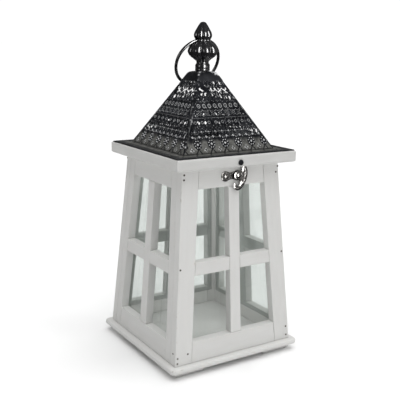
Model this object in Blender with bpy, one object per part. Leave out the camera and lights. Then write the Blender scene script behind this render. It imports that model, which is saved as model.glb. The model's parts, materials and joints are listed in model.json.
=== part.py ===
"""Candle lantern: a tapered wooden body with glazed frames, and a hinged lid with a pierced metal roof.

The frame has +Z up and its origin on the floor under the middle of the lantern. The latch is on the
front, which faces -Y. All driving sizes are in millimetres; MM turns them into Blender's metres.
"""
from math import asin, atan2, cos, pi, radians, sin

import bmesh
import bpy
from mathutils import Matrix, Vector
from mathutils.geometry import delaunay_2d_cdt

MM = 0.001
GAP = 0.3                    # play between pieces that touch on the real lantern
BORE_PLAY = 0.3              # play round a shank, stem or pin in its hole

# Base
BASE_HALF = 100.0
FOOT_HEIGHT = 8.2
BASE_Z = (8.5, 15.4)
BASE_CORNER_R = 7.0
BASE_NOSE = 2.6              # rounding of the board's top and bottom edges
FOOT_SIZE = 45.0
FOOT_INSET = 8.5
FOOT_UNDERCUT = ((3.0, 0.0), (1.4, 2.2), (0.0, FOOT_HEIGHT))   # how far a foot draws in, at a height

# Body: four tapered frames
BODY_Z = (15.7, 262.8)
BODY_HALF_FOOT = 91.1        # half width of the body at its foot
BODY_HALF_TOP = 73.2         # half width of the body at its top
FRAME_T = 11.0               # thickness of the frames
STILE_W = 24.0               # stiles of the front and back frames
SIDE_STILE_W = 13.5          # stiles of the side frames, which stand between the front and the back
TOP_RAIL_H = 26.4
BOTTOM_RAIL_H = 27.2
BAR_W = 15.8                 # vertical glazing bar
BAR_H = 16.8                 # horizontal glazing bar
BAR_Z = 136.5                # height of the horizontal bar's middle
FRONT_BAR_X = 2.4            # the front's vertical bar stands a little off centre
GLASS_T = 2.0
GLASS_LAP = 6.0              # how far a pane reaches behind its frame
WOOD_EASE = 0.8              # rounding of the boards' edges

# Lid
LID_HALF = 89.9
LID_Z = (263.1, 277.6)
LID_HOLE_HALF = 59.0
LID_EASE = 1.4
FLANGE_HALF = 88.6
FLANGE_HOLE_HALF = 62.0
FLANGE_T = 0.9
ROOF_HALF = 67.7             # half width of the roof at its foot
ROOF_Z = (281.0, 371.0)
ROOF_APEX_Z = 397.9          # where the roof's faces would meet
ROOF_DROP = 1.8              # the sheet's inner face is its outer face, this much lower
ROOF_HOLE_ROWS = (           # height, pitch, radius and corners of each row of piercings in a face
    (290.0, 20.4, 4.6, 8), (301.5, 10.2, 2.6, 4), (315.3, 10.2, 2.6, 4), (326.3, 10.2, 2.4, 4),
    (342.0, 10.2, 2.8, 4), (350.0, 13.6, 3.6, 8), (360.5, 8.0, 2.2, 4))
ROOF_HOLE_MARGIN = 3.0       # solid metal left beside the corners
CAP_Z = (365.0, 376.5)
CAP_T = 0.9

# Finial and ring handle
EYE_Z = 416.7                # height of the ring's hole through the finial
EYE_R = 4.3
RING_R = 31.9
WIRE_R = 1.9
STEM_R = 3.0
STEM_FOOT_Z = 364.0
NUT_ACROSS = 10.0
NUT_H = 4.6

# Latch, in the plane of the front's top rail
LATCH_Z = 249.5
PIVOT_X = 6.5
SCREW_X = -10.2
LOBE_R = 6.7
PLATE_T = 1.0
LEVER_T = 1.6
LEVER_STANDOFF = 3.4
SHANK_R = 1.5
SHANK_DEPTH = 7.0
STUD_X = 1.4
STUD_Z = 268.7
STUD_R = 3.7

# Hinges
HINGE_X = 34.0
HINGE_L = 26.0
KNUCKLE_R = 2.4
KNUCKLE_HALF = 4.4           # half length of the middle knuckle
PIN_R = 1.1
LEAF_T = 1.0
LEAF_W = 12.5
LEAF_SCREW_X = 8.0
LEAF_SHANK_R = 1.1
LEAF_HEAD_R = 1.9
LEAF_HEAD_T = 0.8            # height of the countersunk heads, which are flush with the leaves
LEAF_HEAD_CROWN = 0.02       # rise of their middles

TAPER = atan2(BODY_HALF_FOOT - BODY_HALF_TOP, BODY_Z[1] - BODY_Z[0])
FRAME_H = (BODY_Z[1] - BODY_Z[0]) / cos(TAPER)
ROOF_RUN = ROOF_HALF / (ROOF_APEX_Z - ROOF_Z[0])    # how much the roof narrows for each unit of height
ROOF_PITCH = atan2(ROOF_RUN, 1)                     # angle of the roof's faces from upright
CAP_RISE = GAP / sin(ROOF_PITCH)                    # the cap's inner face is the roof's, this much higher
CAP_APEX_Z = ROOF_APEX_Z + CAP_RISE + CAP_T / sin(ROOF_PITCH)
SIDES = {"front": 0, "right": 1, "back": 2, "left": 3}


# ---------------------------------------------------------------- scene, materials and objects

def clear_scene():
    for obj in list(bpy.data.objects):
        bpy.data.objects.remove(obj, do_unlink=True)


def make_material(name, color, roughness, metallic=0.0, alpha=1.0):
    material = bpy.data.materials.new(name)
    material.use_nodes = True
    shader = material.node_tree.nodes["Principled BSDF"]
    shader.inputs["Base Color"].default_value = (*color, 1.0)
    shader.inputs["Roughness"].default_value = roughness
    shader.inputs["Metallic"].default_value = metallic
    shader.inputs["Alpha"].default_value = alpha
    return material


def make_empty(name, location):
    empty = bpy.data.objects.new(name, None)
    empty.location = Vector(location) * MM
    empty.empty_display_size = 10 * MM
    bpy.context.scene.collection.objects.link(empty)
    return empty


def make_object(name, bm, look, parent=None, smooth=None):
    """Turn a bmesh in millimetres into an object in metres, with its own copy of a look's material."""
    bmesh.ops.scale(bm, vec=(MM, MM, MM), verts=bm.verts)
    bmesh.ops.recalc_face_normals(bm, faces=bm.faces)
    mesh = bpy.data.meshes.new(name)
    bm.to_mesh(mesh)
    bm.free()
    if smooth:
        mesh.shade_smooth()
        mesh.set_sharp_from_angle(angle=radians(smooth))
    obj = bpy.data.objects.new(name, mesh)
    bpy.context.scene.collection.objects.link(obj)
    if look:
        mesh.materials.append(make_material(name, *LOOKS[look]))
    if parent:
        obj.parent = parent
        obj.matrix_parent_inverse = Matrix.Translation(parent.location).inverted()
    return obj


def make_tool(name, bm):
    """A hidden helper body for a Boolean."""
    tool = make_object(name, bm, None)
    tool.hide_render = True
    tool.display_type = "WIRE"
    return tool


def boolean(obj, tool, operation):
    modifier = obj.modifiers.new(tool.name, "BOOLEAN")
    modifier.operation = operation
    modifier.solver = "EXACT"
    modifier.object = tool


def ease_edges(obj, width=WOOD_EASE, segments=1):
    bevel = obj.modifiers.new("eased edges", "BEVEL")
    bevel.width = width * MM
    bevel.segments = segments
    bevel.limit_method = "ANGLE"
    bevel.angle_limit = radians(40)


# ---------------------------------------------------------------- shapes

def loft(rings, caps=True):
    """Skin a list of rings, which all have the same number of points, and close both ends."""
    bm = bmesh.new()
    rows = [[bm.verts.new(point) for point in ring] for ring in rings]
    count = len(rows[0])
    for low, high in zip(rows, rows[1:]):
        for i in range(count):
            j = (i + 1) % count
            bm.faces.new((low[i], low[j], high[j], high[i]))
    if caps:
        bm.faces.new(rows[0])
        bm.faces.new(rows[-1])
    return bm


def rounded_square(half, corner, z, steps=5):
    """A ring round a square with rounded corners."""
    points = []
    for quarter in range(4):
        turn = Matrix.Rotation(quarter * pi / 2, 3, "Z")
        for i in range(steps + 1):
            angle = i / steps * pi / 2
            x = half - corner + corner * cos(angle)
            y = half - corner + corner * sin(angle)
            points.append(turn @ Vector((x, y, z)))
    return points


def square(half, z):
    return [Vector((x * half, y * half, z)) for x, y in ((-1, -1), (1, -1), (1, 1), (-1, 1))]


def circle(radius, z, count):
    return [Vector((radius * cos(2 * pi * i / count), radius * sin(2 * pi * i / count), z))
            for i in range(count)]


def cylinder(radius, z0, z1, count=16, matrix=None):
    bm = loft([circle(radius, z0, count), circle(radius, z1, count)])
    if matrix:
        bmesh.ops.transform(bm, matrix=matrix, verts=bm.verts)
    return bm


def turned(profile, count, matrix=None):
    """Revolve (radius, height) points about Z; a radius of 0 at an end closes it in a point."""
    bm = bmesh.new()
    inner = [(r, z) for r, z in profile if r > 0]
    rings = [circle(r, z, count) for r, z in inner]
    rows = [[bm.verts.new(point) for point in ring] for ring in rings]
    for low, high in zip(rows, rows[1:]):
        for i in range(count):
            j = (i + 1) % count
            bm.faces.new((low[i], low[j], high[j], high[i]))
    for (radius, z), row in ((profile[0], rows[0]), (profile[-1], rows[-1])):
        if radius > 0:
            bm.faces.new(row)
            continue
        tip = bm.verts.new((0, 0, z))
        for i in range(count):
            bm.faces.new((row[i], row[(i + 1) % count], tip))
    if matrix:
        bmesh.ops.transform(bm, matrix=matrix, verts=bm.verts)
    return bm


def smooth_through(knots, steps, closed=False):
    """A Catmull-Rom curve through 2D or 3D knots."""
    knots = [Vector(knot) for knot in knots]
    last = len(knots) if closed else len(knots) - 1
    points = []
    for i in range(last):
        if closed:
            a, b, c, d = (knots[(i + k) % len(knots)] for k in (-1, 0, 1, 2))
        else:
            a, b, c, d = (knots[min(max(i + k, 0), len(knots) - 1)] for k in (-1, 0, 1, 2))
        for step in range(steps):
            t = step / steps
            points.append(0.5 * (2 * b + (c - a) * t + (2 * a - 5 * b + 4 * c - d) * t ** 2
                                 + (3 * b - a - 3 * c + d) * t ** 3))
    if not closed:
        points.append(knots[-1])
    return points


def axis_matrix(point, direction):
    """Local Z along a direction, from a point."""
    return Matrix.Translation(point) @ Vector(direction).to_track_quat("Z", "Y").to_matrix().to_4x4()


def drill(obj, name, point, direction, radius, depth, back=2.0, count=16):
    """Drill a round hole from a point on a surface, into it along a direction."""
    matrix = axis_matrix(point, direction)
    tool = make_tool(name, cylinder(radius, -back, depth, count, matrix))
    boolean(obj, tool, "DIFFERENCE")


# ---------------------------------------------------------------- base and feet

def make_base():
    z0, z1 = BASE_Z
    steps = 3
    rings = []
    for i in range(steps + 1):
        angle = i / steps * pi / 2
        inset = BASE_NOSE * (1 - sin(angle))
        z = z0 + BASE_NOSE * (1 - cos(angle))
        rings.append(rounded_square(BASE_HALF - inset, BASE_CORNER_R - inset, z))
    for i in range(steps + 1):
        angle = i / steps * pi / 2
        inset = BASE_NOSE * (1 - cos(angle))
        z = z1 - BASE_NOSE * (1 - sin(angle))
        rings.append(rounded_square(BASE_HALF - inset, BASE_CORNER_R - inset, z))
    make_object("base_board", loft(rings), "wood", smooth=50)

    middle = BASE_HALF - FOOT_INSET - FOOT_SIZE / 2
    names = {(-1, -1): "foot_front_left", (1, -1): "foot_front_right",
             (1, 1): "foot_back_right", (-1, 1): "foot_back_left"}
    for (sx, sy), name in names.items():
        bm = loft([square(FOOT_SIZE / 2 - inset, z) for inset, z in FOOT_UNDERCUT])
        bmesh.ops.translate(bm, vec=(sx * middle, sy * middle, 0), verts=bm.verts)
        ease_edges(make_object(name, bm, "wood"))


# ---------------------------------------------------------------- body frames

def side_matrix(side, level=False):
    """Frame coordinates of a side: u across it, v up its slope, and w from its outer face inwards.

    Along a level w, a board's top and bottom stay horizontal, and w is still its depth behind the face.
    """
    u = Vector((1, 0, 0))
    v = Vector((0, sin(TAPER), cos(TAPER)))
    w = Vector((0, 1 / cos(TAPER), 0)) if level else Vector((0, cos(TAPER), -sin(TAPER)))
    matrix = Matrix((u, v, w)).transposed().to_4x4()
    matrix.translation = (0, -BODY_HALF_FOOT, BODY_Z[0])
    return Matrix.Rotation(SIDES[side] * pi / 2, 4, "Z") @ matrix


def slope_v(z):
    return (z - BODY_Z[0]) / cos(TAPER)


def body_half(v):
    """Half width of the body, measured across a face at a distance v up its slope."""
    return BODY_HALF_FOOT - v * sin(TAPER)


def frame_half(side, v):
    """Half width of a side's frame: the side frames stand between the front and the back ones."""
    if side in ("front", "back"):
        return body_half(v)
    return body_half(v) - FRAME_T / cos(TAPER) - GAP


def stile_w(side):
    return STILE_W if side in ("front", "back") else SIDE_STILE_W


def board(name, side, outline, w0=0.0, w1=FRAME_T, look="wood"):
    """A board of a side's frame, from its outline across and up the face."""
    rings = [[Vector((u, v, w)) for u, v in outline] for w in (w0, w1)]
    bm = loft(rings)
    bmesh.ops.transform(bm, matrix=side_matrix(side, level=True), verts=bm.verts)
    obj = make_object(name, bm, look)
    if look == "wood":
        ease_edges(obj)
    return obj


def make_frame(side):
    """The six boards and the pane of one side. Returns the top rail."""
    inner = {v: frame_half(side, v) - stile_w(side) for v in (0.0, FRAME_H)}

    def opening(v):
        """Half width between the stiles."""
        return inner[0.0] + (inner[FRAME_H] - inner[0.0]) * v / FRAME_H

    for sign, hand in ((-1, "left"), (1, "right")):
        outline = [(sign * frame_half(side, 0.0), 0.0), (sign * opening(0.0), 0.0),
                   (sign * opening(FRAME_H), FRAME_H), (sign * frame_half(side, FRAME_H), FRAME_H)]
        board(f"{side}_stile_{hand}", side, outline)

    rails = {}
    for name, low, high in (("bottom", 0.0, BOTTOM_RAIL_H), ("top", FRAME_H - TOP_RAIL_H, FRAME_H)):
        outline = [(-opening(low) + GAP, low), (opening(low) - GAP, low),
                   (opening(high) - GAP, high), (-opening(high) + GAP, high)]
        rails[name] = board(f"{side}_rail_{name}", side, outline)

    # The two glazing bars are half lapped where they cross: the upright one lies over the other.
    bar_u = FRONT_BAR_X if side == "front" else 0.0
    u0, u1 = bar_u - BAR_W / 2, bar_u + BAR_W / 2
    v_mid = slope_v(BAR_Z)
    v0, v1 = v_mid - BAR_H / 2, v_mid + BAR_H / 2
    lap = FRAME_T / 2
    low, high = BOTTOM_RAIL_H + GAP, FRAME_H - TOP_RAIL_H - GAP
    profile = [(low, 0), (high, 0), (high, FRAME_T), (v1 + GAP, FRAME_T), (v1 + GAP, lap),
               (v0 - GAP, lap), (v0 - GAP, FRAME_T), (low, FRAME_T)]
    bm = loft([[Vector((u, v, w)) for v, w in profile] for u in (u0, u1)])
    bmesh.ops.transform(bm, matrix=side_matrix(side, level=True), verts=bm.verts)
    ease_edges(make_object(f"{side}_bar_upright", bm, "wood"))

    rings = []
    for v in (v0, v1):
        end = opening(v) - GAP
        section = [(-end, 0), (u0 - GAP, 0), (u0 - GAP, lap + GAP), (u1 + GAP, lap + GAP), (u1 + GAP, 0),
                   (end, 0), (end, FRAME_T), (-end, FRAME_T)]
        rings.append([Vector((u, v, w)) for u, w in section])
    bm = loft(rings)
    bmesh.ops.transform(bm, matrix=side_matrix(side, level=True), verts=bm.verts)
    ease_edges(make_object(f"{side}_bar_cross", bm, "wood"))

    low, high = BOTTOM_RAIL_H - GLASS_LAP, FRAME_H - TOP_RAIL_H + GLASS_LAP
    edge = STILE_W - GLASS_LAP
    outline = [(-body_half(low) + edge, low), (body_half(low) - edge, low),
               (body_half(high) - edge, high), (-body_half(high) + edge, high)]
    board(f"{side}_glass", side, outline, FRAME_T + GAP, FRAME_T + GAP + GLASS_T, "glass")
    return rails["top"]


# ---------------------------------------------------------------- lid board, roof and cap

def square_ring(outer_half, inner_half, z0, z1, ease=0.0):
    """A flat square with a square hole, with its outer edges rounded off."""
    rings = [square(inner_half, z0), square(outer_half - ease, z0)]
    if ease:
        rings += [square(outer_half, z0 + ease), square(outer_half, z1 - ease)]
    rings += [square(outer_half - ease, z1), square(inner_half, z1)]
    bm = loft(rings, caps=False)
    bm.verts.ensure_lookup_table()
    first, last = list(bm.verts)[:4], list(bm.verts)[-4:]
    for i in range(4):
        j = (i + 1) % 4
        bm.faces.new((first[i], last[i], last[j], first[j]))
    return bm


def roof_half(z):
    return (ROOF_APEX_Z - z) * ROOF_RUN


def roof_holes():
    """Outlines of one face's piercings, in (across, height) on the face: flowers below, diamonds above."""
    holes = []
    for z, pitch, radius, corners in ROOF_HOLE_ROWS:
        reach = roof_half(z + radius) - radius - ROOF_HOLE_MARGIN
        count = 2 * int(reach / pitch) + 1
        if (count - 1) / 2 * pitch + pitch / 2 < reach:
            count += 1
        for i in range(count):
            x = (i - (count - 1) / 2) * pitch
            angles = [2 * pi * k / corners for k in range(corners)]
            holes.append([(x + radius * cos(angle), z + radius * sin(angle)) for angle in angles])
    return holes


def make_roof(parent):
    """Four pierced faces, joined along their corners, as one sheet-metal pyramid without a top."""
    z0, z1 = ROOF_Z
    outline = [(-roof_half(z0), z0), (roof_half(z0), z0), (roof_half(z1), z1), (-roof_half(z1), z1)]
    loops = [outline] + roof_holes()
    points, faces = [], []
    for loop in loops:
        faces.append(list(range(len(points), len(points) + len(loop))))
        points += [Vector(point) for point in loop]
    flat, _, triangles, _, _, sources = delaunay_2d_cdt(points, [], faces, 1, 1e-4, True)
    solid = [face for face, source in zip(triangles, sources) if source == [0]]

    bm = bmesh.new()
    for quarter in range(4):
        turn = Matrix.Rotation(quarter * pi / 2, 3, "Z")
        verts = [bm.verts.new(turn @ Vector((x, -roof_half(z), z))) for x, z in flat]
        for face in solid:
            bm.faces.new([verts[i] for i in face])
    bmesh.ops.delete(bm, geom=[v for v in bm.verts if not v.link_faces], context="VERTS")
    bmesh.ops.remove_doubles(bm, verts=bm.verts, dist=0.001)
    rim = [edge for edge in bm.edges if edge.is_boundary]
    rim_pairs = [(edge.verts[0], edge.verts[1]) for edge in rim]
    below = {vert: bm.verts.new(vert.co - Vector((0, 0, ROOF_DROP))) for vert in list(bm.verts)}
    for face in list(bm.faces):
        bm.faces.new([below[vert] for vert in reversed(face.verts)])
    for a, b in rim_pairs:
        bm.faces.new((a, b, below[b], below[a]))
    make_object("roof_shell", bm, "black_metal", parent)


def make_cap(parent):
    """A square cap that sits over the roof's top edge, with a hole for the finial's stem."""
    z0, z1 = CAP_Z
    inner_apex = ROOF_APEX_Z + CAP_RISE
    corners = ((inner_apex, z0), (CAP_APEX_Z, z0), (CAP_APEX_Z, z1), (inner_apex, z1 - CAP_T))
    bm = bmesh.new()
    rows = [[bm.verts.new(point) for point in square((apex - z) * ROOF_RUN, z)] for apex, z in corners]
    for low, high in ((0, 1), (1, 2), (3, 0)):
        for i in range(4):
            j = (i + 1) % 4
            bm.faces.new((rows[low][i], rows[low][j], rows[high][j], rows[high][i]))
    bm.faces.new(rows[2])
    bm.faces.new(rows[3])
    cap = make_object("roof_cap", bm, "black_metal", parent)
    drill(cap, "stem hole tool", Vector((0, 0, z1)), (0, 0, -1), STEM_R + BORE_PLAY, 2 * CAP_T)


def make_lid(parent):
    ring = square_ring(LID_HALF, LID_HOLE_HALF, *LID_Z, ease=LID_EASE)
    lid = make_object("lid_board", ring, "wood", parent)
    z = LID_Z[1] + GAP
    make_object("roof_flange", square_ring(FLANGE_HALF, FLANGE_HOLE_HALF, z, z + FLANGE_T),
                "black_metal", parent)
    make_roof(parent)
    make_cap(parent)
    return lid


# ---------------------------------------------------------------- finial, nut and ring

FINIAL_KNOTS = [(9.6, 376.8), (9.6, 384.8), (8.6, 386.4), (8.0, 388.0), (8.8, 390.0), (11.5, 392.5),
                (16.8, 397.0), (19.4, 402.8), (17.9, 408.2), (13.2, 411.8), (10.2, 413.8), (9.6, 416.2),
                (10.2, 419.2), (11.4, 423.4), (10.1, 427.4), (7.4, 431.0), (5.4, 434.8), (3.6, 438.2)]
FINIAL_TIP_Z = 439.4


def make_finial(parent):
    collar, curve = FINIAL_KNOTS[:1], FINIAL_KNOTS[1:]
    profile = [(0, STEM_FOOT_Z), (STEM_R, STEM_FOOT_Z), (STEM_R, collar[0][1])] + collar
    profile += [(p.x, p.y) for p in smooth_through(curve, 2)]
    profile.append((0, FINIAL_TIP_Z))
    finial = make_object("finial", turned(profile, 24), "gloss_black", parent, smooth=50)
    drill(finial, "eye tool", Vector((-RING_R, 0, EYE_Z)), (1, 0, 0), EYE_R, 2 * RING_R, count=20)

    z1 = CAP_Z[1] - CAP_T - GAP
    z0 = z1 - NUT_H
    corner_r = NUT_ACROSS / 2 / cos(pi / 6)
    nut = make_object("finial_nut", cylinder(corner_r, z0, z1, 6), "bright_metal", parent)
    drill(nut, "nut bore tool", Vector((0, 0, z1)), (0, 0, -1), STEM_R + BORE_PLAY, 2 * NUT_H)


def ring_lean():
    """Angle from hanging straight down at which the ring meets the cap's foot or the roof's face."""
    room = WIRE_R + GAP
    foot = Vector(((CAP_APEX_Z - CAP_Z[0]) * ROOF_RUN, EYE_Z - CAP_Z[0]))
    on_cap = atan2(foot.x, foot.y) + asin(room / foot.length)
    below_eye = (ROOF_APEX_Z - EYE_Z) * sin(ROOF_PITCH)
    on_roof = ROOF_PITCH + asin((below_eye + room) / (2 * RING_R))
    return max(on_cap, on_roof)


def make_ring(parent):
    """The ring hangs from the finial's hole and leans back against the roof."""
    lean = ring_lean()
    down = Vector((0, sin(lean), -cos(lean)))
    side = Vector((1, 0, 0))
    normal = side.cross(down)
    centre = Vector((0, 0, EYE_Z)) + RING_R * down
    around, across = 48, 8
    rings = []
    for i in range(around):
        angle = 2 * pi * i / around
        out = cos(angle) * side + sin(angle) * down
        rings.append([centre + (RING_R + WIRE_R * cos(2 * pi * k / across)) * out
                      + WIRE_R * sin(2 * pi * k / across) * normal for k in range(across)])
    bm = bmesh.new()
    rows = [[bm.verts.new(point) for point in ring] for ring in rings]
    for i in range(around):
        for k in range(across):
            a, b = rows[i], rows[(i + 1) % around]
            bm.faces.new((a[k], a[(k + 1) % across], b[(k + 1) % across], b[k]))
    make_object("ring_handle", bm, "gloss_black", parent, smooth=60)


# ---------------------------------------------------------------- latch

def latch_point(u, z, standoff):
    """A point in front of the front rail: across, at a height on the rail, and away from its face."""
    return side_matrix("front") @ Vector((u, slope_v(z), -standoff))


def latch_slab(name, outline, near, far, look, parent=None):
    """A flat piece that lies parallel to the front rail's face."""
    rings = [[latch_point(u, z, standoff) for u, z in outline] for standoff in (near, far)]
    return make_object(name, loft(rings), look, parent, smooth=40)


def plate_outline():
    """Two round lobes joined by a waist, like a figure of eight."""
    points = []
    waist_half = 4.4
    spread = radians(52)
    for x, start in ((PIVOT_X, -pi + spread), (SCREW_X, spread)):
        for i in range(11):
            angle = start + i / 10 * (2 * pi - 2 * spread)
            points.append((x + LOBE_R * cos(angle), LATCH_Z + LOBE_R * sin(angle)))
        sign = 1 if x == PIVOT_X else -1
        points.append(((PIVOT_X + SCREW_X) / 2, LATCH_Z + sign * waist_half))
    return points


LEVER_KNOTS = [(15.0, 262.0), (13.0, 258.5), (12.2, 255.0), (8.2, 255.6), (2.6, 253.4), (0.7, 249.0),
               (3.0, 244.3), (7.6, 243.2), (9.8, 240.6), (8.8, 237.6), (6.0, 235.6), (3.6, 236.6),
               (3.4, 239.6), (1.2, 240.6), (-0.6, 237.0), (1.0, 232.6), (5.8, 230.4), (11.6, 232.6),
               (17.2, 239.4), (20.6, 247.6), (21.2, 254.4), (19.4, 259.6), (17.2, 262.0)]


def make_latch(rail, parent):
    plate = latch_slab("latch_plate", plate_outline(), GAP, GAP + PLATE_T, "bright_metal")
    outward = latch_point(0, LATCH_Z, 1) - latch_point(0, LATCH_Z, 0)
    for x, name in ((PIVOT_X, "pivot"), (SCREW_X, "screw")):
        point = latch_point(x, LATCH_Z, 0)
        drill(plate, f"plate {name} tool", point, outward, SHANK_R + BORE_PLAY, 4 * PLATE_T)
        drill(rail, f"rail {name} tool", point, -outward, SHANK_R + BORE_PLAY, SHANK_DEPTH + GAP)

    outline = [(p.x, p.y) for p in smooth_through(LEVER_KNOTS, 2, closed=True)]
    lever = latch_slab("latch_lever", outline, LEVER_STANDOFF, LEVER_STANDOFF + LEVER_T, "bright_metal",
                       parent)
    pivot = latch_point(PIVOT_X, LATCH_Z, 0)
    drill(lever, "lever pivot tool", pivot, outward, SHANK_R + BORE_PLAY, LEVER_STANDOFF + 2 * LEVER_T)

    face = GAP + PLATE_T + GAP
    head = LEVER_STANDOFF + LEVER_T + GAP
    collar_r = 3.2
    rivet = [(0, -SHANK_DEPTH), (SHANK_R, -SHANK_DEPTH), (SHANK_R, face), (collar_r, face),
             (collar_r, LEVER_STANDOFF - GAP), (SHANK_R, LEVER_STANDOFF - GAP), (SHANK_R, head),
             (3.6, head), (3.4, head + 0.7), (2.2, head + 1.5), (0, head + 1.8)]
    rivet = turned(rivet, 16, axis_matrix(pivot, outward))
    make_object("latch_pivot_rivet", rivet, "bright_metal", smooth=40)
    head_r, head_h = 3.0, 1.4
    head = [(head_r, face), (head_r * 0.86, face + 0.6 * head_h), (head_r * 0.5, face + 0.9 * head_h)]
    make_screw("latch_screw", latch_point(SCREW_X, LATCH_Z, 0), outward, SHANK_R, head, face + head_h,
               "bright_metal")


def make_screw(name, point, outward, shank_r, head, top, look, parent=None):
    """A slotted screw: head lists the (radius, height) points of its head's outline, up to its top."""
    matrix = axis_matrix(point, outward)
    slot_half, slot_depth = 0.3, 0.6
    profile = [(0, -SHANK_DEPTH), (shank_r, 1 - SHANK_DEPTH), (shank_r, head[0][1])] + head + [(0, top)]
    screw = make_object(name, turned(profile, 12, matrix), look, parent, smooth=40)
    reach = 2 * head[0][0]
    slot = [(-reach, -slot_half), (reach, -slot_half), (reach, slot_half), (-reach, slot_half)]
    bm = loft([[Vector((x, y, z)) for x, y in slot] for z in (top - slot_depth, top + 1.0)])
    bmesh.ops.transform(bm, matrix=matrix @ Matrix.Rotation(radians(35), 4, "Z"), verts=bm.verts)
    boolean(screw, make_tool(name + " slot tool", bm), "DIFFERENCE")


def make_stud(lid, parent):
    point = Vector((STUD_X, -LID_HALF, STUD_Z))
    drill(lid, "stud hole tool", point, (0, 1, 0), SHANK_R + BORE_PLAY, SHANK_DEPTH + GAP)
    profile = [(0, -SHANK_DEPTH), (SHANK_R, -SHANK_DEPTH), (SHANK_R, 1.2), (STUD_R, 1.2), (STUD_R, 2.0),
               (STUD_R * 0.75, 2.8), (STUD_R * 0.35, 3.2), (0, 3.3)]
    matrix = axis_matrix(point, (0, -1, 0))
    make_object("lid_stud", turned(profile, 16, matrix), "gloss_black", parent, smooth=40)


# ---------------------------------------------------------------- hinges

def hinge_axis():
    """Middle of the knuckles, below the lid's overhang and behind the back rail's face."""
    z = LID_Z[0] - GAP - KNUCKLE_R
    y = body_half(slope_v(z)) + (KNUCKLE_R + GAP + 0.1) / cos(TAPER)
    return Vector((0, y, z))


def hinge_leaf(name, x, down, outward, knuckles, look, parent=None):
    """A leaf plate with its knuckles. down runs from the axis along the plate, outward to its open face."""
    axis = hinge_axis() + Vector((x, 0, 0))
    basis = Matrix((Vector((1, 0, 0)), down, outward)).transposed().to_4x4()
    basis.translation = axis
    if basis.determinant() < 0:
        basis = basis @ Matrix.Scale(-1, 4, (1, 0, 0))
    back = -KNUCKLE_R
    root = KNUCKLE_R + GAP + 0.1
    plate = [(-HINGE_L / 2, root), (HINGE_L / 2, root), (HINGE_L / 2, LEAF_W), (-HINGE_L / 2, LEAF_W)]
    bm = loft([[Vector((u, v, w)) for u, v in plate] for w in (back, back + LEAF_T)])
    bmesh.ops.transform(bm, matrix=basis, verts=bm.verts)
    leaf = make_object(name, bm, look, parent)
    for index, (low, high) in enumerate(knuckles):
        angles = [pi * 1.5 * (1 - i / 14) for i in range(15)]
        section = [(root + 1.0, back + 0.05)]
        section += [(KNUCKLE_R * cos(a), KNUCKLE_R * sin(a)) for a in angles]
        section += [(KNUCKLE_R, back + LEAF_T - 0.05), (root + 1.0, back + LEAF_T - 0.05)]
        bm = loft([[Vector((u, v, w)) for v, w in section] for u in (low, high)])
        bmesh.ops.transform(bm, matrix=basis, verts=bm.verts)
        boolean(leaf, make_tool(f"{name} knuckle tool {index}", bm), "UNION")
    start = axis + Vector((-HINGE_L, 0, 0))
    drill(leaf, f"{name} bore tool", start, (1, 0, 0), PIN_R + BORE_PLAY, 2 * HINGE_L)
    return leaf, basis


def make_hinges(rail, lid, parent):
    down_body = side_matrix("back").to_3x3() @ Vector((0, -1, 0))
    out_body = side_matrix("back").to_3x3() @ Vector((0, 0, -1))
    end = HINGE_L / 2
    ends = ((-end, -KNUCKLE_HALF - GAP), (KNUCKLE_HALF + GAP, end))
    for side, hand in ((-1, "left"), (1, "right")):
        x = side * HINGE_X
        leaf, basis = hinge_leaf(f"hinge_{hand}_body_leaf", x, down_body, out_body, ends, "hinge_metal")
        fix_leaf(leaf, basis, rail, f"hinge_{hand}_body_screw", None)
        leaf, basis = hinge_leaf(f"hinge_{hand}_lid_leaf", x, Vector((0, 1, 0)), Vector((0, 0, -1)),
                                 ((-KNUCKLE_HALF, KNUCKLE_HALF),), "hinge_metal", parent)
        fix_leaf(leaf, basis, lid, f"hinge_{hand}_lid_screw", parent)
        head_r = PIN_R + 0.7
        pin = [(0, -end - 2 * GAP), (head_r, -end - 2 * GAP), (head_r, -end - GAP),
               (PIN_R, -end - GAP), (PIN_R, end + GAP), (0, end + GAP)]
        matrix = axis_matrix(hinge_axis() + Vector((x, 0, 0)), (1, 0, 0))
        make_object(f"hinge_{hand}_pin", turned(pin, 14, matrix), "hinge_metal", smooth=40)


def fix_leaf(leaf, basis, wood, name, parent):
    """Two countersunk screws through a leaf into the board behind it."""
    down, outward = basis.col[1].xyz.normalized(), basis.col[2].xyz.normalized()
    seat_v = (LEAF_W + KNUCKLE_R) / 2 + GAP
    neck = LEAF_T - LEAF_HEAD_T
    head = [(LEAF_SHANK_R, neck), (LEAF_HEAD_R, LEAF_T)]
    for sign, hand in ((-1, "a"), (1, "b")):
        face = basis.translation + Vector((sign * LEAF_SCREW_X, 0, 0)) + down * seat_v - outward * KNUCKLE_R
        seat = [(0, -LEAF_T), (LEAF_SHANK_R + BORE_PLAY, -LEAF_T), (LEAF_SHANK_R + BORE_PLAY, neck),
                (LEAF_HEAD_R + BORE_PLAY, LEAF_T), (LEAF_HEAD_R + BORE_PLAY, 2 * LEAF_T), (0, 2 * LEAF_T)]
        tool = make_tool(f"{name}_{hand} leaf tool", turned(seat, 16, axis_matrix(face, outward)))
        boolean(leaf, tool, "DIFFERENCE")
        depth = SHANK_DEPTH + GAP
        drill(wood, f"{name}_{hand} wood tool", face, -outward, LEAF_SHANK_R + BORE_PLAY, depth, count=10)
        make_screw(f"{name}_{hand}", face, outward, LEAF_SHANK_R, head, LEAF_T + LEAF_HEAD_CROWN,
                   "hinge_metal", parent)


# ---------------------------------------------------------------- the lantern

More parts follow.
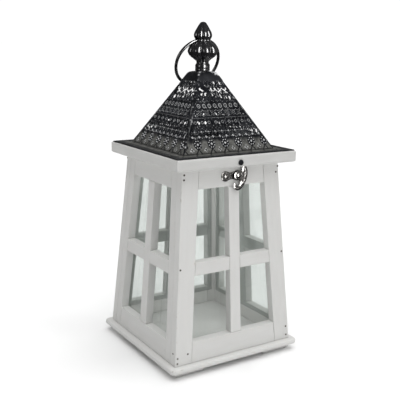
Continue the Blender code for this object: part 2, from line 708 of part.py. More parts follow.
LOOKS = {
    "wood": ((0.72, 0.72, 0.70), 0.55),
    "glass": ((0.80, 0.88, 0.85), 0.05, 0.0, 0.3),
    "black_metal": ((0.035, 0.037, 0.042), 0.42, 0.85),
    "gloss_black": ((0.012, 0.012, 0.016), 0.22, 0.6),
    "bright_metal": ((0.42, 0.40, 0.36), 0.22, 1.0),
    "hinge_metal": ((0.55, 0.55, 0.54), 0.35, 1.0),
}


def main():
    clear_scene()
    make_base()
    rails = {side: make_frame(side) for side in SIDES}
    lid_pivot = make_empty("lid pivot", hinge_axis())
    lid = make_lid(lid_pivot)
    make_finial(lid_pivot)
    ring_pivot = make_empty("ring pivot", (0, 0, EYE_Z))
    make_ring(ring_pivot)
    lever_pivot = make_empty("lever pivot", latch_point(PIVOT_X, LATCH_Z, LEVER_STANDOFF))
    make_latch(rails["front"], lever_pivot)
    make_stud(lid, lid_pivot)
    make_hinges(rails["back"], lid, lid_pivot)


main()
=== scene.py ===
"""Looks of the candle lantern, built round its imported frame.

Boards, panes and small metalwork are refined copies of their CAD nodes. The pierced roof, its flange and
cap, the finial, ring, latch lever and stud are modelled here, in the places and sizes that the frame gives.
Lengths are in millimetres until a piece is made; MM turns them into metres.
"""
import json
import random
from math import atan2, cos, hypot, pi, radians, sin, tan

import bmesh
import bpy
import numpy as np
from mathutils import Matrix, Vector, noise
from mathutils.geometry import delaunay_2d_cdt

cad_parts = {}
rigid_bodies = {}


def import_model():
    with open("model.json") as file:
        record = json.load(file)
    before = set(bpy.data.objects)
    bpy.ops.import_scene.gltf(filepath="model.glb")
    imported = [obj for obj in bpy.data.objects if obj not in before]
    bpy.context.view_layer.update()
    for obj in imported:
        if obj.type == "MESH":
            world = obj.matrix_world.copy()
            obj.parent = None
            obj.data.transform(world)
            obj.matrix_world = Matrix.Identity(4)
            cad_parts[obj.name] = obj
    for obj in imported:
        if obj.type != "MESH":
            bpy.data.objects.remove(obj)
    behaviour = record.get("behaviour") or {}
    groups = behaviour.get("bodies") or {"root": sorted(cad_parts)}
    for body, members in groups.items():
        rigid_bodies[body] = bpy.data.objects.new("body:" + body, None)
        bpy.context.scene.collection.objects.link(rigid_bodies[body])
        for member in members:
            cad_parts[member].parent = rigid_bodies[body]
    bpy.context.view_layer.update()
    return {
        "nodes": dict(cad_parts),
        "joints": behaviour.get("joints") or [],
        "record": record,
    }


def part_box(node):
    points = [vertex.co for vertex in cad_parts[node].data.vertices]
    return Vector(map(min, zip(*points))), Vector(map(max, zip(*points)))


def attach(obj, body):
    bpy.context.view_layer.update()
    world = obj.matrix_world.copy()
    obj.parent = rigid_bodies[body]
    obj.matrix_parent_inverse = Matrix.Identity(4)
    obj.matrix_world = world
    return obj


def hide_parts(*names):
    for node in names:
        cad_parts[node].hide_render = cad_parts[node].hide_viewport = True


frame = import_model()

MM = 0.001
SIDES = {"front": 0, "right": 1, "back": 2, "left": 3}


def box_mm(node):
    low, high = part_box(node)
    return low / MM, high / MM


def points_near(node, z, reach=1.2):
    """The node's points within reach of a height."""
    points = [v.co / MM for v in frame["nodes"][node].data.vertices]
    return [p for p in points if abs(p.z - z) <= reach]


def joint_point(name):
    joint = next(j for j in frame["joints"] if j["name"] == name)
    return Vector(joint["pos_m"]) / MM, Vector(joint["axis"]).normalized()


# ---------------------------------------------------------------- sizes, read from the frame

LID_LOW = box_mm("lid_board")[0]
FLANGE_HIGH = box_mm("roof_flange")[1]
ROOF_LOW, ROOF_HIGH = box_mm("roof_shell")
CAP_LOW, CAP_HIGH = box_mm("roof_cap")
FINIAL_LOW, FINIAL_HIGH = box_mm("finial")
RING_LOW, RING_HIGH = box_mm("ring_handle")
STUD_LOW, STUD_HIGH = box_mm("lid_stud")
STILE_LOW, STILE_HIGH = box_mm("front_stile_left")
PIVOT = joint_point("latch_turn")[0]
EYE, RING_AXIS = joint_point("ring_swing")

BODY_TOP_HALF = max(-p.y for p in points_near("front_stile_left", STILE_HIGH.z))
TAPER = atan2(-STILE_LOW.y - BODY_TOP_HALF, STILE_HIGH.z - STILE_LOW.z)

ROOF_TOP_HALF = max(p.x for p in points_near("roof_shell", ROOF_HIGH.z, 0.1))
ROOF_DROP = 1.8              # the CAD sheet's inner face is its outer face, this much lower
ROOF_FOOT = ROOF_LOW.z + ROOF_DROP
ROOF_RUN = (ROOF_HIGH.x - ROOF_TOP_HALF) / (ROOF_HIGH.z - ROOF_FOOT)
ROOF_APEX = ROOF_HIGH.z + ROOF_TOP_HALF / ROOF_RUN
ROOF_PITCH = atan2(ROOF_RUN, 1)
CAP_APEX = CAP_LOW.z + CAP_HIGH.x / ROOF_RUN


# ---------------------------------------------------------------- nodes of a material

def add_node(tree, kind, inputs=None, **settings):
    """A node with its settings, and its inputs as numbers, colours or other nodes' outputs."""
    made = tree.nodes.new("ShaderNode" + kind)
    for key, value in settings.items():
        setattr(made, key, value)
    for key, value in (inputs or {}).items():
        if isinstance(value, bpy.types.NodeSocket):
            tree.links.new(value, made.inputs[key])
        else:
            made.inputs[key].default_value = value
    return made


class Look:
    """A material with one Principled shader, and short calls for the nodes that feed it."""

    def __init__(self, name, **plain):
        self.material = bpy.data.materials.new(name)
        self.material.use_nodes = True
        self.tree = self.material.node_tree
        self.shader = self.tree.nodes["Principled BSDF"]
        for key, value in plain.items():
            self.shader.inputs[key.replace("_", " ")].default_value = value

    def node(self, kind, inputs=None, **settings):
        return add_node(self.tree, kind, inputs, **settings)

    def attribute(self, name):
        return self.node("Attribute", attribute_name=name)

    def place(self, vector, scale):
        """Coordinates stretched by a scale along each axis."""
        return self.node("Mapping", {"Vector": vector, "Scale": scale}).outputs["Vector"]

    def noise(self, vector, scale, detail=4.0, roughness=0.55, distortion=0.0):
        inputs = {"Vector": vector, "Scale": scale, "Detail": detail, "Roughness": roughness,
                  "Distortion": distortion}
        return self.node("TexNoise", inputs).outputs["Fac"]

    def step(self, value, low, high, start=0.0, end=1.0):
        """start below low, end above high, and smooth in between."""
        inputs = {"Value": value, "From Min": low, "From Max": high, "To Min": start, "To Max": end}
        return self.node("MapRange", inputs, interpolation_type="SMOOTHSTEP").outputs["Result"]

    def math(self, operation, a, b):
        return self.node("Math", {0: a, 1: b}, operation=operation).outputs["Value"]

    def mix(self, share, a, b):
        """Colour a, turning into colour b by a share."""
        made = self.node("Mix", data_type="RGBA")
        share_in, a_in, b_in, colour_out = made.inputs[0], made.inputs[6], made.inputs[7], made.outputs[2]
        for socket, value in ((share_in, share), (a_in, a), (b_in, b)):
            if isinstance(value, bpy.types.NodeSocket):
                self.tree.links.new(value, socket)
            else:
                socket.default_value = value if isinstance(value, float) else (*value, 1.0)
        return colour_out

    def bump(self, height, distance, strength=1.0, normal=None):
        inputs = {"Height": height, "Distance": distance * MM, "Strength": strength}
        if normal:
            inputs["Normal"] = normal
        return self.node("Bump", inputs).outputs["Normal"]

    def feed(self, **sockets):
        for key, output in sockets.items():
            self.tree.links.new(output, self.shader.inputs[key.replace("_", " ")])
        return self.material


def painted_wood():
    """White chalky paint over a fine grain, with grey handling marks and paint rubbed off the edges.

    The boards carry grain (along, across and into the board, in millimetres), edge (1 on their edges)
    and a tone (how warm and dark each one is: at random, and on the lid board a darker paint that is
    painted shade).
    """
    look = Look("painted wood", IOR=1.45)
    grain = look.attribute("grain").outputs["Vector"]
    edge = look.attribute("edge").outputs["Fac"]
    tone_and_shade = look.attribute("tone_and_shade").outputs["Fac"]
    streaks = look.noise(look.place(grain, (0.012, 0.5, 0.5)), 1.0, 5.0, 0.6, 0.3)
    fibres = look.noise(look.place(grain, (0.05, 2.2, 2.2)), 1.0, 3.0, 0.6)
    brushing = look.noise(look.place(grain, (0.03, 0.12, 0.12)), 1.0, 3.0)
    specks = look.noise(look.place(grain, (0.3, 0.45, 0.45)), 1.0, 2.0, 0.7)
    grime = look.noise(look.place(grain, (0.035, 0.05, 0.05)), 1.0, 6.0, 0.7)
    rub = look.noise(look.place(grain, (0.12, 0.3, 0.3)), 1.0, 5.0, 0.7)

    # At its full share this is the lid board's darker paint, which is painted shade; the other boards take
    # a small random share.
    paint = look.mix(tone_and_shade, (0.685, 0.683, 0.667), (0.585, 0.583, 0.57))
    paint = look.mix(look.step(streaks, 0.42, 0.75, 0.0, 0.3), paint, (0.65, 0.64, 0.615))
    paint = look.mix(look.step(brushing, 0.35, 0.7, 0.0, 0.25), paint, (0.735, 0.735, 0.725))
    paint = look.mix(look.step(grime, 0.62, 0.8, 0.0, 0.3), paint, (0.52, 0.50, 0.47))
    paint = look.mix(look.step(specks, 0.73, 0.78, 0.0, 0.7), paint, (0.26, 0.25, 0.24))
    worn = look.math("MULTIPLY", edge, look.step(rub, 0.58, 0.7))
    colour = look.mix(look.math("MULTIPLY", worn, 0.55), paint, (0.40, 0.36, 0.31))
    rough = look.step(brushing, 0.3, 0.75, 0.5, 0.66)

    height = look.math("ADD", look.math("MULTIPLY", streaks, 0.6), look.math("MULTIPLY", fibres, 0.4))
    height = look.math("SUBTRACT", height, look.math("MULTIPLY", worn, 0.8))
    return look.feed(Base_Color=colour, Roughness=rough, Normal=look.bump(height, 0.25, 0.7))


def window_glass():
    """Slightly green float glass with faint smears, which lets lamps through as thin glass does."""
    look = Look("window glass", IOR=1.5, Transmission_Weight=1.0)
    grain = look.attribute("grain").outputs["Vector"]
    smears = look.noise(look.place(grain, (0.02, 0.05, 0.05)), 1.0, 5.0, 0.65, 1.2)
    tint = look.mix(look.step(smears, 0.45, 0.75, 0.0, 1.0), (0.85, 0.875, 0.86), (0.80, 0.83, 0.81))
    look.feed(Base_Color=tint, Roughness=look.step(smears, 0.5, 0.8, 0.0, 0.06))
    lamp = look.node("LightPath").outputs["Is Shadow Ray"]
    clear = look.node("BsdfTransparent", {"Color": (0.94, 0.96, 0.95, 1.0)}).outputs["BSDF"]
    mixed = look.node("MixShader", {0: lamp, 1: look.shader.outputs["BSDF"], 2: clear}).outputs[0]
    look.tree.links.new(mixed, look.tree.nodes["Material Output"].inputs["Surface"])
    return look.material


def brushed_black():
    """Black enamel on sheet metal, dry-brushed with silver where the pattern stands up.

    The pieces carry relief (0 on the flat sheet, up to 1 on what is raised; on the cap it also holds a
    painted highlight) and bare (1 where the brush has covered the sheet with dull silver).
    """
    look = Look("dry-brushed black sheet", Metallic=0.4)
    spot = look.node("TexCoord").outputs["Object"]
    relief = look.attribute("relief").outputs["Fac"]
    bare = look.attribute("bare").outputs["Fac"]
    strokes = look.noise(look.place(spot, (520.0, 520.0, 240.0)), 1.0, 5.0, 0.7, 0.4)
    cloud = look.noise(spot, 60.0, 4.0, 0.65)
    blotches = look.noise(spot, 210.0, 4.0, 0.7)
    reach = look.math("ADD", relief, look.math("MULTIPLY", strokes, 0.7))
    silver = look.step(reach, 0.62, 1.05)
    haze = look.step(cloud, 0.38, 0.68, 0.0, 0.8)
    base = look.mix(haze, (0.006, 0.007, 0.010), (0.034, 0.036, 0.042))
    dull = look.mix(look.step(strokes, 0.3, 0.7), (0.13, 0.13, 0.12), (0.28, 0.28, 0.265))
    dull = look.mix(look.step(blotches, 0.45, 0.72, 0.0, 0.8), dull, (0.075, 0.075, 0.07))
    base = look.mix(bare, base, dull)
    colour = look.mix(silver, base, (0.84, 0.85, 0.86))
    rough = look.step(strokes, 0.35, 0.7, 0.30, 0.50)
    return look.feed(Base_Color=colour, Roughness=rough, Normal=look.bump(strokes, 0.14, 0.7))


def gloss_black():
    """Thick black gloss enamel over a casting, with a soft orange peel and a few rubbed spots."""
    look = Look("gloss black enamel", Coat_Weight=1.0, Coat_Roughness=0.17, Coat_IOR=1.7)
    spot = look.node("TexCoord").outputs["Object"]
    peel = look.noise(spot, 260.0, 3.0, 0.5)
    rubs = look.noise(spot, 620.0, 5.0, 0.75)
    colour = look.mix(look.step(rubs, 0.64, 0.78, 0.0, 0.5), (0.003, 0.003, 0.005), (0.06, 0.06, 0.07))
    rough = look.step(peel, 0.3, 0.7, 0.22, 0.34)
    return look.feed(Base_Color=colour, Roughness=rough, Normal=look.bump(peel, 0.1, 0.5))


def plated(name, light, dark, tarnish_start):
    """Plated steel that has dulled in patches, with fine scratches."""
    look = Look(name, Metallic=1.0)
    spot = look.node("TexCoord").outputs["Object"]
    patches = look.noise(spot, 170.0, 6.0, 0.7)
    scratches = look.noise(look.place(spot, (260.0, 260.0, 3200.0)), 1.0, 3.0, 0.6)
    colour = look.mix(look.step(patches, tarnish_start, tarnish_start + 0.25), light, dark)
    rough = look.step(patches, 0.3, 0.75, 0.12, 0.34)
    dents = look.bump(look.noise(spot, 120.0, 2.0, 0.5), 0.9, 0.8)
    return look.feed(Base_Color=colour, Roughness=rough, Normal=look.bump(scratches, 0.05, 0.5, dents))


def rusty_steel():
    """The small nails' dark heads, with rust in their rims."""
    look = Look("nail steel", Metallic=0.5)
    spot = look.node("TexCoord").outputs["Object"]
    rust = look.noise(spot, 900.0, 4.0, 0.7)
    colour = look.mix(look.step(rust, 0.4, 0.65), (0.07, 0.068, 0.066), (0.11, 0.07, 0.05))
    return look.feed(Base_Color=colour, Roughness=look.step(rust, 0.3, 0.7, 0.45, 0.8))


# ---------------------------------------------------------------- pieces

def finished_mesh(name, bm, flip=True):
    """A mesh in metres from a bmesh in millimetres, which is used up."""
    if flip:
        bmesh.ops.recalc_face_normals(bm, faces=bm.faces)
    bmesh.ops.scale(bm, vec=(MM, MM, MM), verts=bm.verts)
    mesh = bpy.data.meshes.new(name)
    bm.to_mesh(mesh)
    bm.free()
    return mesh


def make_piece(name, bm, body, material, replaced=(), sharp=40.0, flip=True):
    """A piece from a bmesh in millimetres, riding on a body of the frame."""
    mesh = finished_mesh(name, bm, flip)
    mesh.shade_smooth()
    if sharp:
        mesh.set_sharp_from_angle(angle=radians(sharp))
    mesh.materials.append(material)
    piece = bpy.data.objects.new(name, mesh)
    bpy.context.scene.collection.objects.link(piece)
    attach(piece, body)
    if replaced:
        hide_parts(*replaced)
    return piece


def even_normals(piece):
    """Flat faces stay flat in the shading, and only their rounded edges turn."""
    modifier = piece.modifiers.new("even normals", "WEIGHTED_NORMAL")
    modifier.keep_sharp = True


def round_edges(piece, width, segments, angle=30.0):
    bevel = piece.modifiers.new("rounded edges", "BEVEL")
    bevel.width = width * MM
    bevel.segments = segments
    bevel.limit_method = "ANGLE"
    bevel.angle_limit = radians(angle)
    even_normals(piece)


def node_bmesh(node):
    """A CAD node's shape as a bmesh in millimetres, with its flat faces whole again."""
    data = frame["nodes"][node].data
    bm = bmesh.new()
    verts = [bm.verts.new(vert.co / MM) for vert in data.vertices]
    for polygon in data.polygons:
        bm.faces.new([verts[i] for i in polygon.vertices])
    bmesh.ops.remove_doubles(bm, verts=bm.verts, dist=0.005)
    bmesh.ops.dissolve_limit(bm, angle_limit=radians(0.6), verts=bm.verts, edges=bm.edges)
    return bm


def slice_along(bm, axis, step):
    """Cut a shape into slices of about a step along an axis, so that its surface can be moved."""
    reach = [vert.co.dot(axis) for vert in bm.verts]
    low, high = min(reach), max(reach)
    count = max(1, round((high - low) / step))
    for i in range(1, count):
        spot = axis * (low + (high - low) * i / count)
        geometry = bm.verts[:] + bm.edges[:] + bm.faces[:]
        bmesh.ops.bisect_plane(bm, geom=geometry, dist=1e-4, plane_co=spot, plane_no=axis)


def body_of(node):
    return next(body for body, nodes in frame["record"]["behaviour"]["bodies"].items() if node in nodes)


def store(mesh, name, kind, values):
    """A named value at each of a mesh's points."""
    attribute = mesh.attributes.new(name, kind, "POINT")
    field = "vector" if kind == "FLOAT_VECTOR" else "value"
    attribute.data.foreach_set(field, np.asarray(values, dtype=np.float32).ravel())


# ---------------------------------------------------------------- boards and panes

WAVE = 0.1                   # unevenness of a planed and painted face
NICK = 0.9                   # depth of the deepest dents in an edge
SHARPER = 0.5                # how much less the painted boards' edges are eased than the CAD boards'


def quarter_turn(quarter):
    return Matrix.Rotation(quarter * pi / 2, 3, "Z")


def side_axes(side):
    """Right, up and out of one of the four leaning sides."""
    turn = quarter_turn(SIDES[side])
    axes = Vector((1, 0, 0)), Vector((0, sin(TAPER), cos(TAPER))), Vector((0, -cos(TAPER), sin(TAPER)))
    return [turn @ axis for axis in axes]


def board_axes(side, slant):
    """Along, across and out of a board: slant is its own tilt sideways in the face of its frame."""
    right, up, out = side_axes(side)
    along = (up * cos(slant) + right * sin(slant)).normalized()
    return along, along.cross(out).normalized(), out


def sharpen(bm, amount):
    """Bring both rims of each chamfer nearer to its edge."""
    bm.normal_update()
    moves = []
    for vert in bm.verts:
        main = max(vert.link_faces, key=lambda face: face.calc_area()).normal
        move = Vector()
        for face in vert.link_faces:
            if 0.6 < face.normal.dot(main) < 0.8:
                move += (face.normal - main * face.normal.dot(main)).normalized() * amount
        moves.append(move)
    for vert, move in zip(bm.verts, moves):
        vert.co += move


def refine_board(node, axes, steps, material, seed, wave=WAVE, nick=NICK, swap=None,
                 sharper=0.0, tone_and_shade=None):
    """A finer copy of a board, with an uneven surface, dented edges and the values its paint needs."""
    along, across, out = axes
    bm = node_bmesh(node)
    if sharper:
        sharpen(bm, sharper)
    for axis, step in zip(axes, steps):
        slice_along(bm, axis, step)
    bm.normal_update()
    shift = Vector((seed * 17.3, seed * 7.1, seed * 3.7))
    grain, edge = [], []
    moves = []
    for vert in bm.verts:
        square = max(max(abs(face.normal.dot(axis)) for axis in axes) for face in vert.link_faces)
        slanted = min(max(abs(face.normal.dot(axis)) for axis in axes) for face in vert.link_faces)
        on_edge = 1.0 if slanted < 0.93 or square < 0.93 else 0.0
        spot = vert.co + shift
        bite = max(0.0, noise.noise(spot * 0.09) - 0.42) + max(0.0, noise.noise(spot * 0.35) - 0.5)
        hollow = wave * (0.5 - 0.5 * noise.noise(spot * 0.03))
        moves.append(-vert.normal * (hollow + on_edge * nick * bite))
        edge.append(on_edge)
        place = Vector((vert.co.dot(along), vert.co.dot(across), vert.co.dot(out)))
        if swap and swap(vert.co):
            place = Vector((place.y, place.x, place.z))
        grain.append(place + shift)
    for vert, move in zip(bm.verts, moves):
        vert.co += move
    piece = make_piece("fine_" + node, bm, body_of(node), material, (node,), sharp=60.0)
    store(piece.data, "grain", "FLOAT_VECTOR", grain)
    store(piece.data, "edge", "FLOAT", edge)
    if tone_and_shade is None:
        tone_and_shade = 0.25 * random.Random(seed).random()
    store(piece.data, "tone_and_shade", "FLOAT", [tone_and_shade] * len(piece.data.vertices))
    even_normals(piece)
    return piece


def make_frames(wood, glass):
    """The boards and panes of the four sides."""
    seed = 1
    for side in SIDES:
        kinds = {"stile_left": TAPER, "stile_right": -TAPER, "bar_upright": 0.0,
                 "rail_top": None, "rail_bottom": None, "bar_cross": None}
        for kind, slant in kinds.items():
            axes = board_axes(side, slant or 0.0)
            if slant is None:
                axes = (axes[1], axes[0], axes[2])
            refine_board(f"{side}_{kind}", axes, (3.2, 3.6, 3.6), wood, seed,
                         sharper=SHARPER)
            seed += 1
        pane = refine_board(f"{side}_glass", board_axes(side, 0.0), (9.0, 9.0, 9.0), glass,
                            seed, wave=0.03, nick=0.0)
        round_edges(pane, 0.25, 2)
        seed += 1


def make_flat_boards(wood):
    """The base board, its feet and the lid's board."""
    flat = (Vector((1, 0, 0)), Vector((0, 1, 0)), Vector((0, 0, 1)))
    refine_board("base_board", flat, (4.0, 4.0, 3.0), wood, 41, wave=0.08)
    # The lid board takes the darker paint over all its faces: painted shade.
    refine_board("lid_board", flat, (4.0, 4.0, 3.0), wood, 44,
                 swap=lambda spot: abs(spot.x) > abs(spot.y), tone_and_shade=1.0)
    for index, name in enumerate(("front_left", "front_right", "back_left", "back_right")):
        refine_board("foot_" + name, flat, (3.5, 3.5, 2.5), wood, 51 + index)


# ---------------------------------------------------------------- nails

NAIL_R = 1.05
FRONT_NAILS = (              # across and up the front, where the corners' joints are nailed
    (-87.0, 26.0), (-87.5, 19.5), (-72.0, 29.0), (-70.5, 256.0), (-71.0, 250.0), (70.0, 248.5),
    (73.0, 256.0), (-79.5, 139.0), (79.0, 140.0), (86.0, 33.0), (86.5, 21.0))
SIDE_NAILS = ((83.5, 31.0),)


def nail_bmesh(spot, out):
    """A small domed head, sunk in a shallow ring of paint."""
    bm = bmesh.new()
    profile = [(NAIL_R * 1.25, -0.4), (NAIL_R * 1.2, 0.1), (NAIL_R, 0.12), (NAIL_R * 0.95, -0.05),
               (NAIL_R * 0.7, 0.16), (NAIL_R * 0.3, 0.26)]
    turned(bm, profile, 16, closed_top=0.28)
    stand_on(bm, spot, out)
    return bm


def make_nails(steel):
    for side in SIDES:
        turn, out = quarter_turn(SIDES[side]), side_axes(side)[2]
        nails = FRONT_NAILS if side in ("front", "back") else SIDE_NAILS
        for index, (x, z) in enumerate(nails):
            depth = -STILE_LOW.y - (z - STILE_LOW.z) * tan(TAPER)
            bm = nail_bmesh(turn @ Vector((x, -depth, z)), out)
            make_piece(f"nail_{side}_{index}", bm, "root", steel, sharp=60.0)


# ---------------------------------------------------------------- turned and swept shapes

def ring_rows(bm, rings, closed=False):
    """Skin a list of rings of points, and return their rows of vertices."""
    rows = [[bm.verts.new(point) for point in ring] for ring in rings]
    pairs = list(zip(rows, rows[1:]))
    if closed:
        pairs.append((rows[-1], rows[0]))
    count = len(rows[0])
    for low, high in pairs:
        for i in range(count):
            j = (i + 1) % count
            bm.faces.new((low[i], low[j], high[j], high[i]))
    return rows


def turned(bm, profile, count, closed_top=None, radius_at=None):
    """Revolve (radius, height) points about Z, closed below, and above in a point at closed_top."""
    rings = []
    for r, z in profile:
        ring = []
        for i in range(count):
            angle = 2 * pi * i / count
            radius = radius_at(r, z, angle) if radius_at else r
            ring.append(Vector((radius * cos(angle), radius * sin(angle), z)))
        rings.append(ring)
    rows = ring_rows(bm, rings)
    bm.faces.new(rows[0])
    if closed_top is None:
        bm.faces.new(rows[-1])
        return
    tip = bm.verts.new((0, 0, closed_top))
    for i in range(count):
        bm.faces.new((rows[-1][i], rows[-1][(i + 1) % count], tip))


def stand_on(bm, spot, out):
    """Move a turned shape from the origin to a spot, with its top outward."""
    place = Matrix.Translation(spot) @ out.to_track_quat("Z", "Y").to_matrix().to_4x4()
    bmesh.ops.transform(bm, matrix=place, verts=bm.verts)


def smooth_through(knots, steps, closed=False):
    """A Catmull-Rom curve through knots."""
    knots = [Vector(knot) for knot in knots]
    last = len(knots) if closed else len(knots) - 1
    points = []
    for i in range(last):
        if closed:
            a, b, c, d = (knots[(i + k) % len(knots)] for k in (-1, 0, 1, 2))
        else:
            a, b, c, d = (knots[min(max(i + k, 0), len(knots) - 1)] for k in (-1, 0, 1, 2))
        for step in range(steps):
            t = step / steps
            points.append(0.5 * (2 * b + (c - a) * t + (2 * a - 5 * b + 4 * c - d) * t ** 2
                                 + (3 * b - a - 3 * c + d) * t ** 3))
    if not closed:
        points.append(knots[-1])
    return points


# ---------------------------------------------------------------- the pierced sheet

def ellipse(x, y, a, b, turn, count):
    """Points round an ellipse."""
    points = []
    for i in range(count):
        angle = 2 * pi * i / count
        p, q = a * cos(angle), b * sin(angle)
        points.append((x + p * cos(turn) - q * sin(turn), y + p * sin(turn) + q * cos(turn)))
    return points


def pierced(outline, holes, loose):
    """Flat points, the triangles between them outside the holes, and which points each one came from."""
    points, faces = [], []
    for loop in [outline] + holes:
        faces.append(list(range(len(points), len(points) + len(loop))))
        points += [Vector(point) for point in loop]
    points += [Vector(point) for point in loose]
    out, _, triangles, sources, _, owners = delaunay_2d_cdt(points, [], faces, 1, 1e-4, True)
    return out, [t for t, owner in zip(triangles, owners) if owner == [0]], sources


def skin_slab(bm, triangles, top, under):
    """The triangles on a slab's two surfaces, and a wall along each open edge."""
    edges = {}
    for a, b, c in triangles:
        bm.faces.new((top[a], top[b], top[c]))
        bm.faces.new((under[c], under[b], under[a]))
        edges.update(dict.fromkeys(((a, b), (b, c), (c, a))))
    for a, b in edges:
        if (b, a) not in edges:
            bm.faces.new((top[b], top[a], under[a], under[b]))


class Sheet:
    """One flat face of the pierced metal: its outline, holes and raised work, in (across, up)."""

    def __init__(self, outline, inside):
        self.outline = outline
        self.inside = inside     # tells whether a circle round a point lies in the face
        self.holes = []
        self.points = []         # (x, y, height) of the raised work
        self.taken = []          # (x, y, radius) that the plain fill keeps out of

    def hole(self, x, y, a, b, turn=0.0, count=10, lip=0.5, height=0.5):
        """A punched oval hole with a raised lip round it."""
        reach = max(a, b) + lip
        if not self.inside(x, y, reach + 0.3):
            return
        self.holes.append(ellipse(x, y, a, b, turn, count))
        if lip:
            for px, py in ellipse(x, y, a + lip * 0.55, b + lip * 0.55, turn, count):
                self.points.append((px, py, height))
            for px, py in ellipse(x, y, a + lip * 1.3, b + lip * 1.3, turn + pi / count, count):
                self.points.append((px, py, 0.0))
        self.taken.append((x, y, reach))

    def ring(self, x, y, radius, height, count, centre=0.25):
        """A raised ring round a dimple."""
        if not self.inside(x, y, radius + 0.2):
            return
        self.points.append((x, y, centre))
        self.points += [(px, py, 0.0) for px, py in ellipse(x, y, radius * 0.4, radius * 0.4, 0, 6)]
        for share, level in ((0.72, height), (1.0, 0.0)):
            for px, py in ellipse(x, y, radius * share, radius * share, 0.0, count):
                self.points.append((px, py, level))
        self.taken.append((x, y, radius))

    def bead(self, y, half, height):
        """A raised line across the face."""
        count = int(2 * half / 1.6)
        for i in range(count + 1):
            x = -half + 2 * half * i / count
            if self.inside(x, y, 0.9):
                self.points += [(x, y - 0.7, 0.0), (x, y, height), (x, y + 0.7, 0.0)]
                self.taken.append((x, y, 0.9))

    def flower(self, x, y, radius, petals, core, petal):
        """A round flower: a hole in the middle, petals punched round it and a raised rim."""
        if not self.inside(x, y, radius * 0.6):
            return
        self.hole(x, y, radius * core, radius * core * 1.2, lip=0.45, height=0.7)
        for k in range(petals):
            angle = 2 * pi * (k + 0.5) / petals
            px, py = x + radius * 0.76 * cos(angle), y + radius * 0.76 * sin(angle)
            self.hole(px, py, radius * petal, radius * petal * 1.25, angle + pi / 2, 7, 0.0)
        for k in range(petals * 2):
            angle = pi * k / petals
            px, py = x + radius * 1.1 * cos(angle), y + radius * 1.1 * sin(angle)
            if self.inside(px, py, 0.4):
                self.points.append((px, py, 0.55 if k % 2 else 0.1))
                self.taken.append((px, py, 0.7))

    def boss(self, x, y, size, height):
        """A small raised button."""
        if not self.inside(x, y, size * 1.6):
            return
        self.points.append((x, y, height))
        self.points += [(a, b, height) for a, b in ellipse(x, y, size, size, 0.0, 6)]
        self.points += [(a, b, 0.0) for a, b in ellipse(x, y, size * 1.5, size * 1.5, 0.3, 7)]
        self.taken.append((x, y, size * 1.6))

    def rosette(self, x, y, radius, bosses, height):
        """A round dark disc with a boss in the middle and smaller ones round it."""
        if not self.inside(x, y, radius * 0.6):
            return
        self.boss(x, y, radius * 0.2, height)
        for k in range(bosses):
            angle = 2 * pi * (k + 0.5) / bosses
            self.boss(x + radius * 0.72 * cos(angle), y + radius * 0.72 * sin(angle), radius * 0.11, height)
        rim = 20
        for k in range(rim):
            angle = 2 * pi * k / rim
            for share, level in ((0.99, 0.0), (1.09, 0.35)):
                px, py = x + radius * share * cos(angle), y + radius * share * sin(angle)
                if self.inside(px, py, 0.4):
                    self.points.append((px, py, level))
        self.taken.append((x, y, radius * 1.1))

    def groove(self, line, height):
        """A groove pressed in along a line of points."""
        for (ax, ay), (bx, by) in zip(line, line[1:]):
            length = hypot(bx - ax, by - ay)
            out = Vector((ay - by, bx - ax)) / length
            count = max(1, int(length / 1.3))
            for i in range(count):
                x, y = ax + (bx - ax) * i / count, ay + (by - ay) * i / count
                for offset, level in ((-1.15, 0.0), (-0.45, height), (0.45, height), (1.15, 0.0)):
                    px, py = x + out.x * offset, y + out.y * offset
                    if self.inside(px, py, 0.1) and self.free(px, py, 0.2):
                        self.points.append((px, py, level))
            for i in range(count):
                x, y = ax + (bx - ax) * i / count, ay + (by - ay) * i / count
                self.taken.append((x, y, 1.2))

    def free(self, x, y, margin):
        return all(hypot(x - a, y - b) > r + margin for a, b, r in self.taken if abs(y - b) < 8)

    def fill(self, step, rough, rng):
        """Points between the work: plain ones, a little out of flat, and small raised flecks."""
        xs = [p[0] for p in self.outline]
        ys = [p[1] for p in self.outline]
        for row in range(int((max(ys) - min(ys)) / step) + 1):
            y = min(ys) + (row + 0.5) * step
            x = min(xs) + (0.5 if row % 2 else 0.0) * step
            while x < max(xs):
                if self.free(x, y, 0.35) and self.inside(x, y, 0.4):
                    fleck = rng.random() < rough(x, y)
                    self.points.append((x, y, rng.uniform(0.3, 0.55) if fleck else rng.uniform(-0.1, 0.08)))
                x += step

    def triangulate(self, bare_at):
        """Flat points, their heights, how bare they are, and the triangles between them."""
        out, triangles, sources = pierced(self.outline, self.holes, [(x, y) for x, y, _ in self.points])
        edges = len(self.outline) + sum(len(hole) for hole in self.holes)
        heights = [0.0] * edges + [h for _, _, h in self.points]
        level = [max((heights[i] for i in source), default=0.0, key=abs) for source in sources]
        bare = [bare_at(p.x, p.y) for p in out]
        return out, level, bare, triangles


def sheet_metal(bm, sheet, turn, place, thickness, layers):
    """Add a sheet's two surfaces and its cut edges. place gives a point at a height over the face."""
    flat, level, bare, triangles = sheet
    top = [bm.verts.new(turn @ place(p.x, p.y, h)) for p, h in zip(flat, level)]
    under = [bm.verts.new(turn @ place(p.x, p.y, h - thickness)) for p, h in zip(flat, level)]
    for vert, h, b in zip(top, level, bare):
        vert[layers[0]] = h
        vert[layers[1]] = b
    skin_slab(bm, triangles, top, under)


def sheet_bmesh():
    """A bmesh with the values that the black sheet's material reads."""
    bm = bmesh.new()
    return bm, (bm.verts.layers.float.new("relief"), bm.verts.layers.float.new("bare"))


# ---------------------------------------------------------------- roof

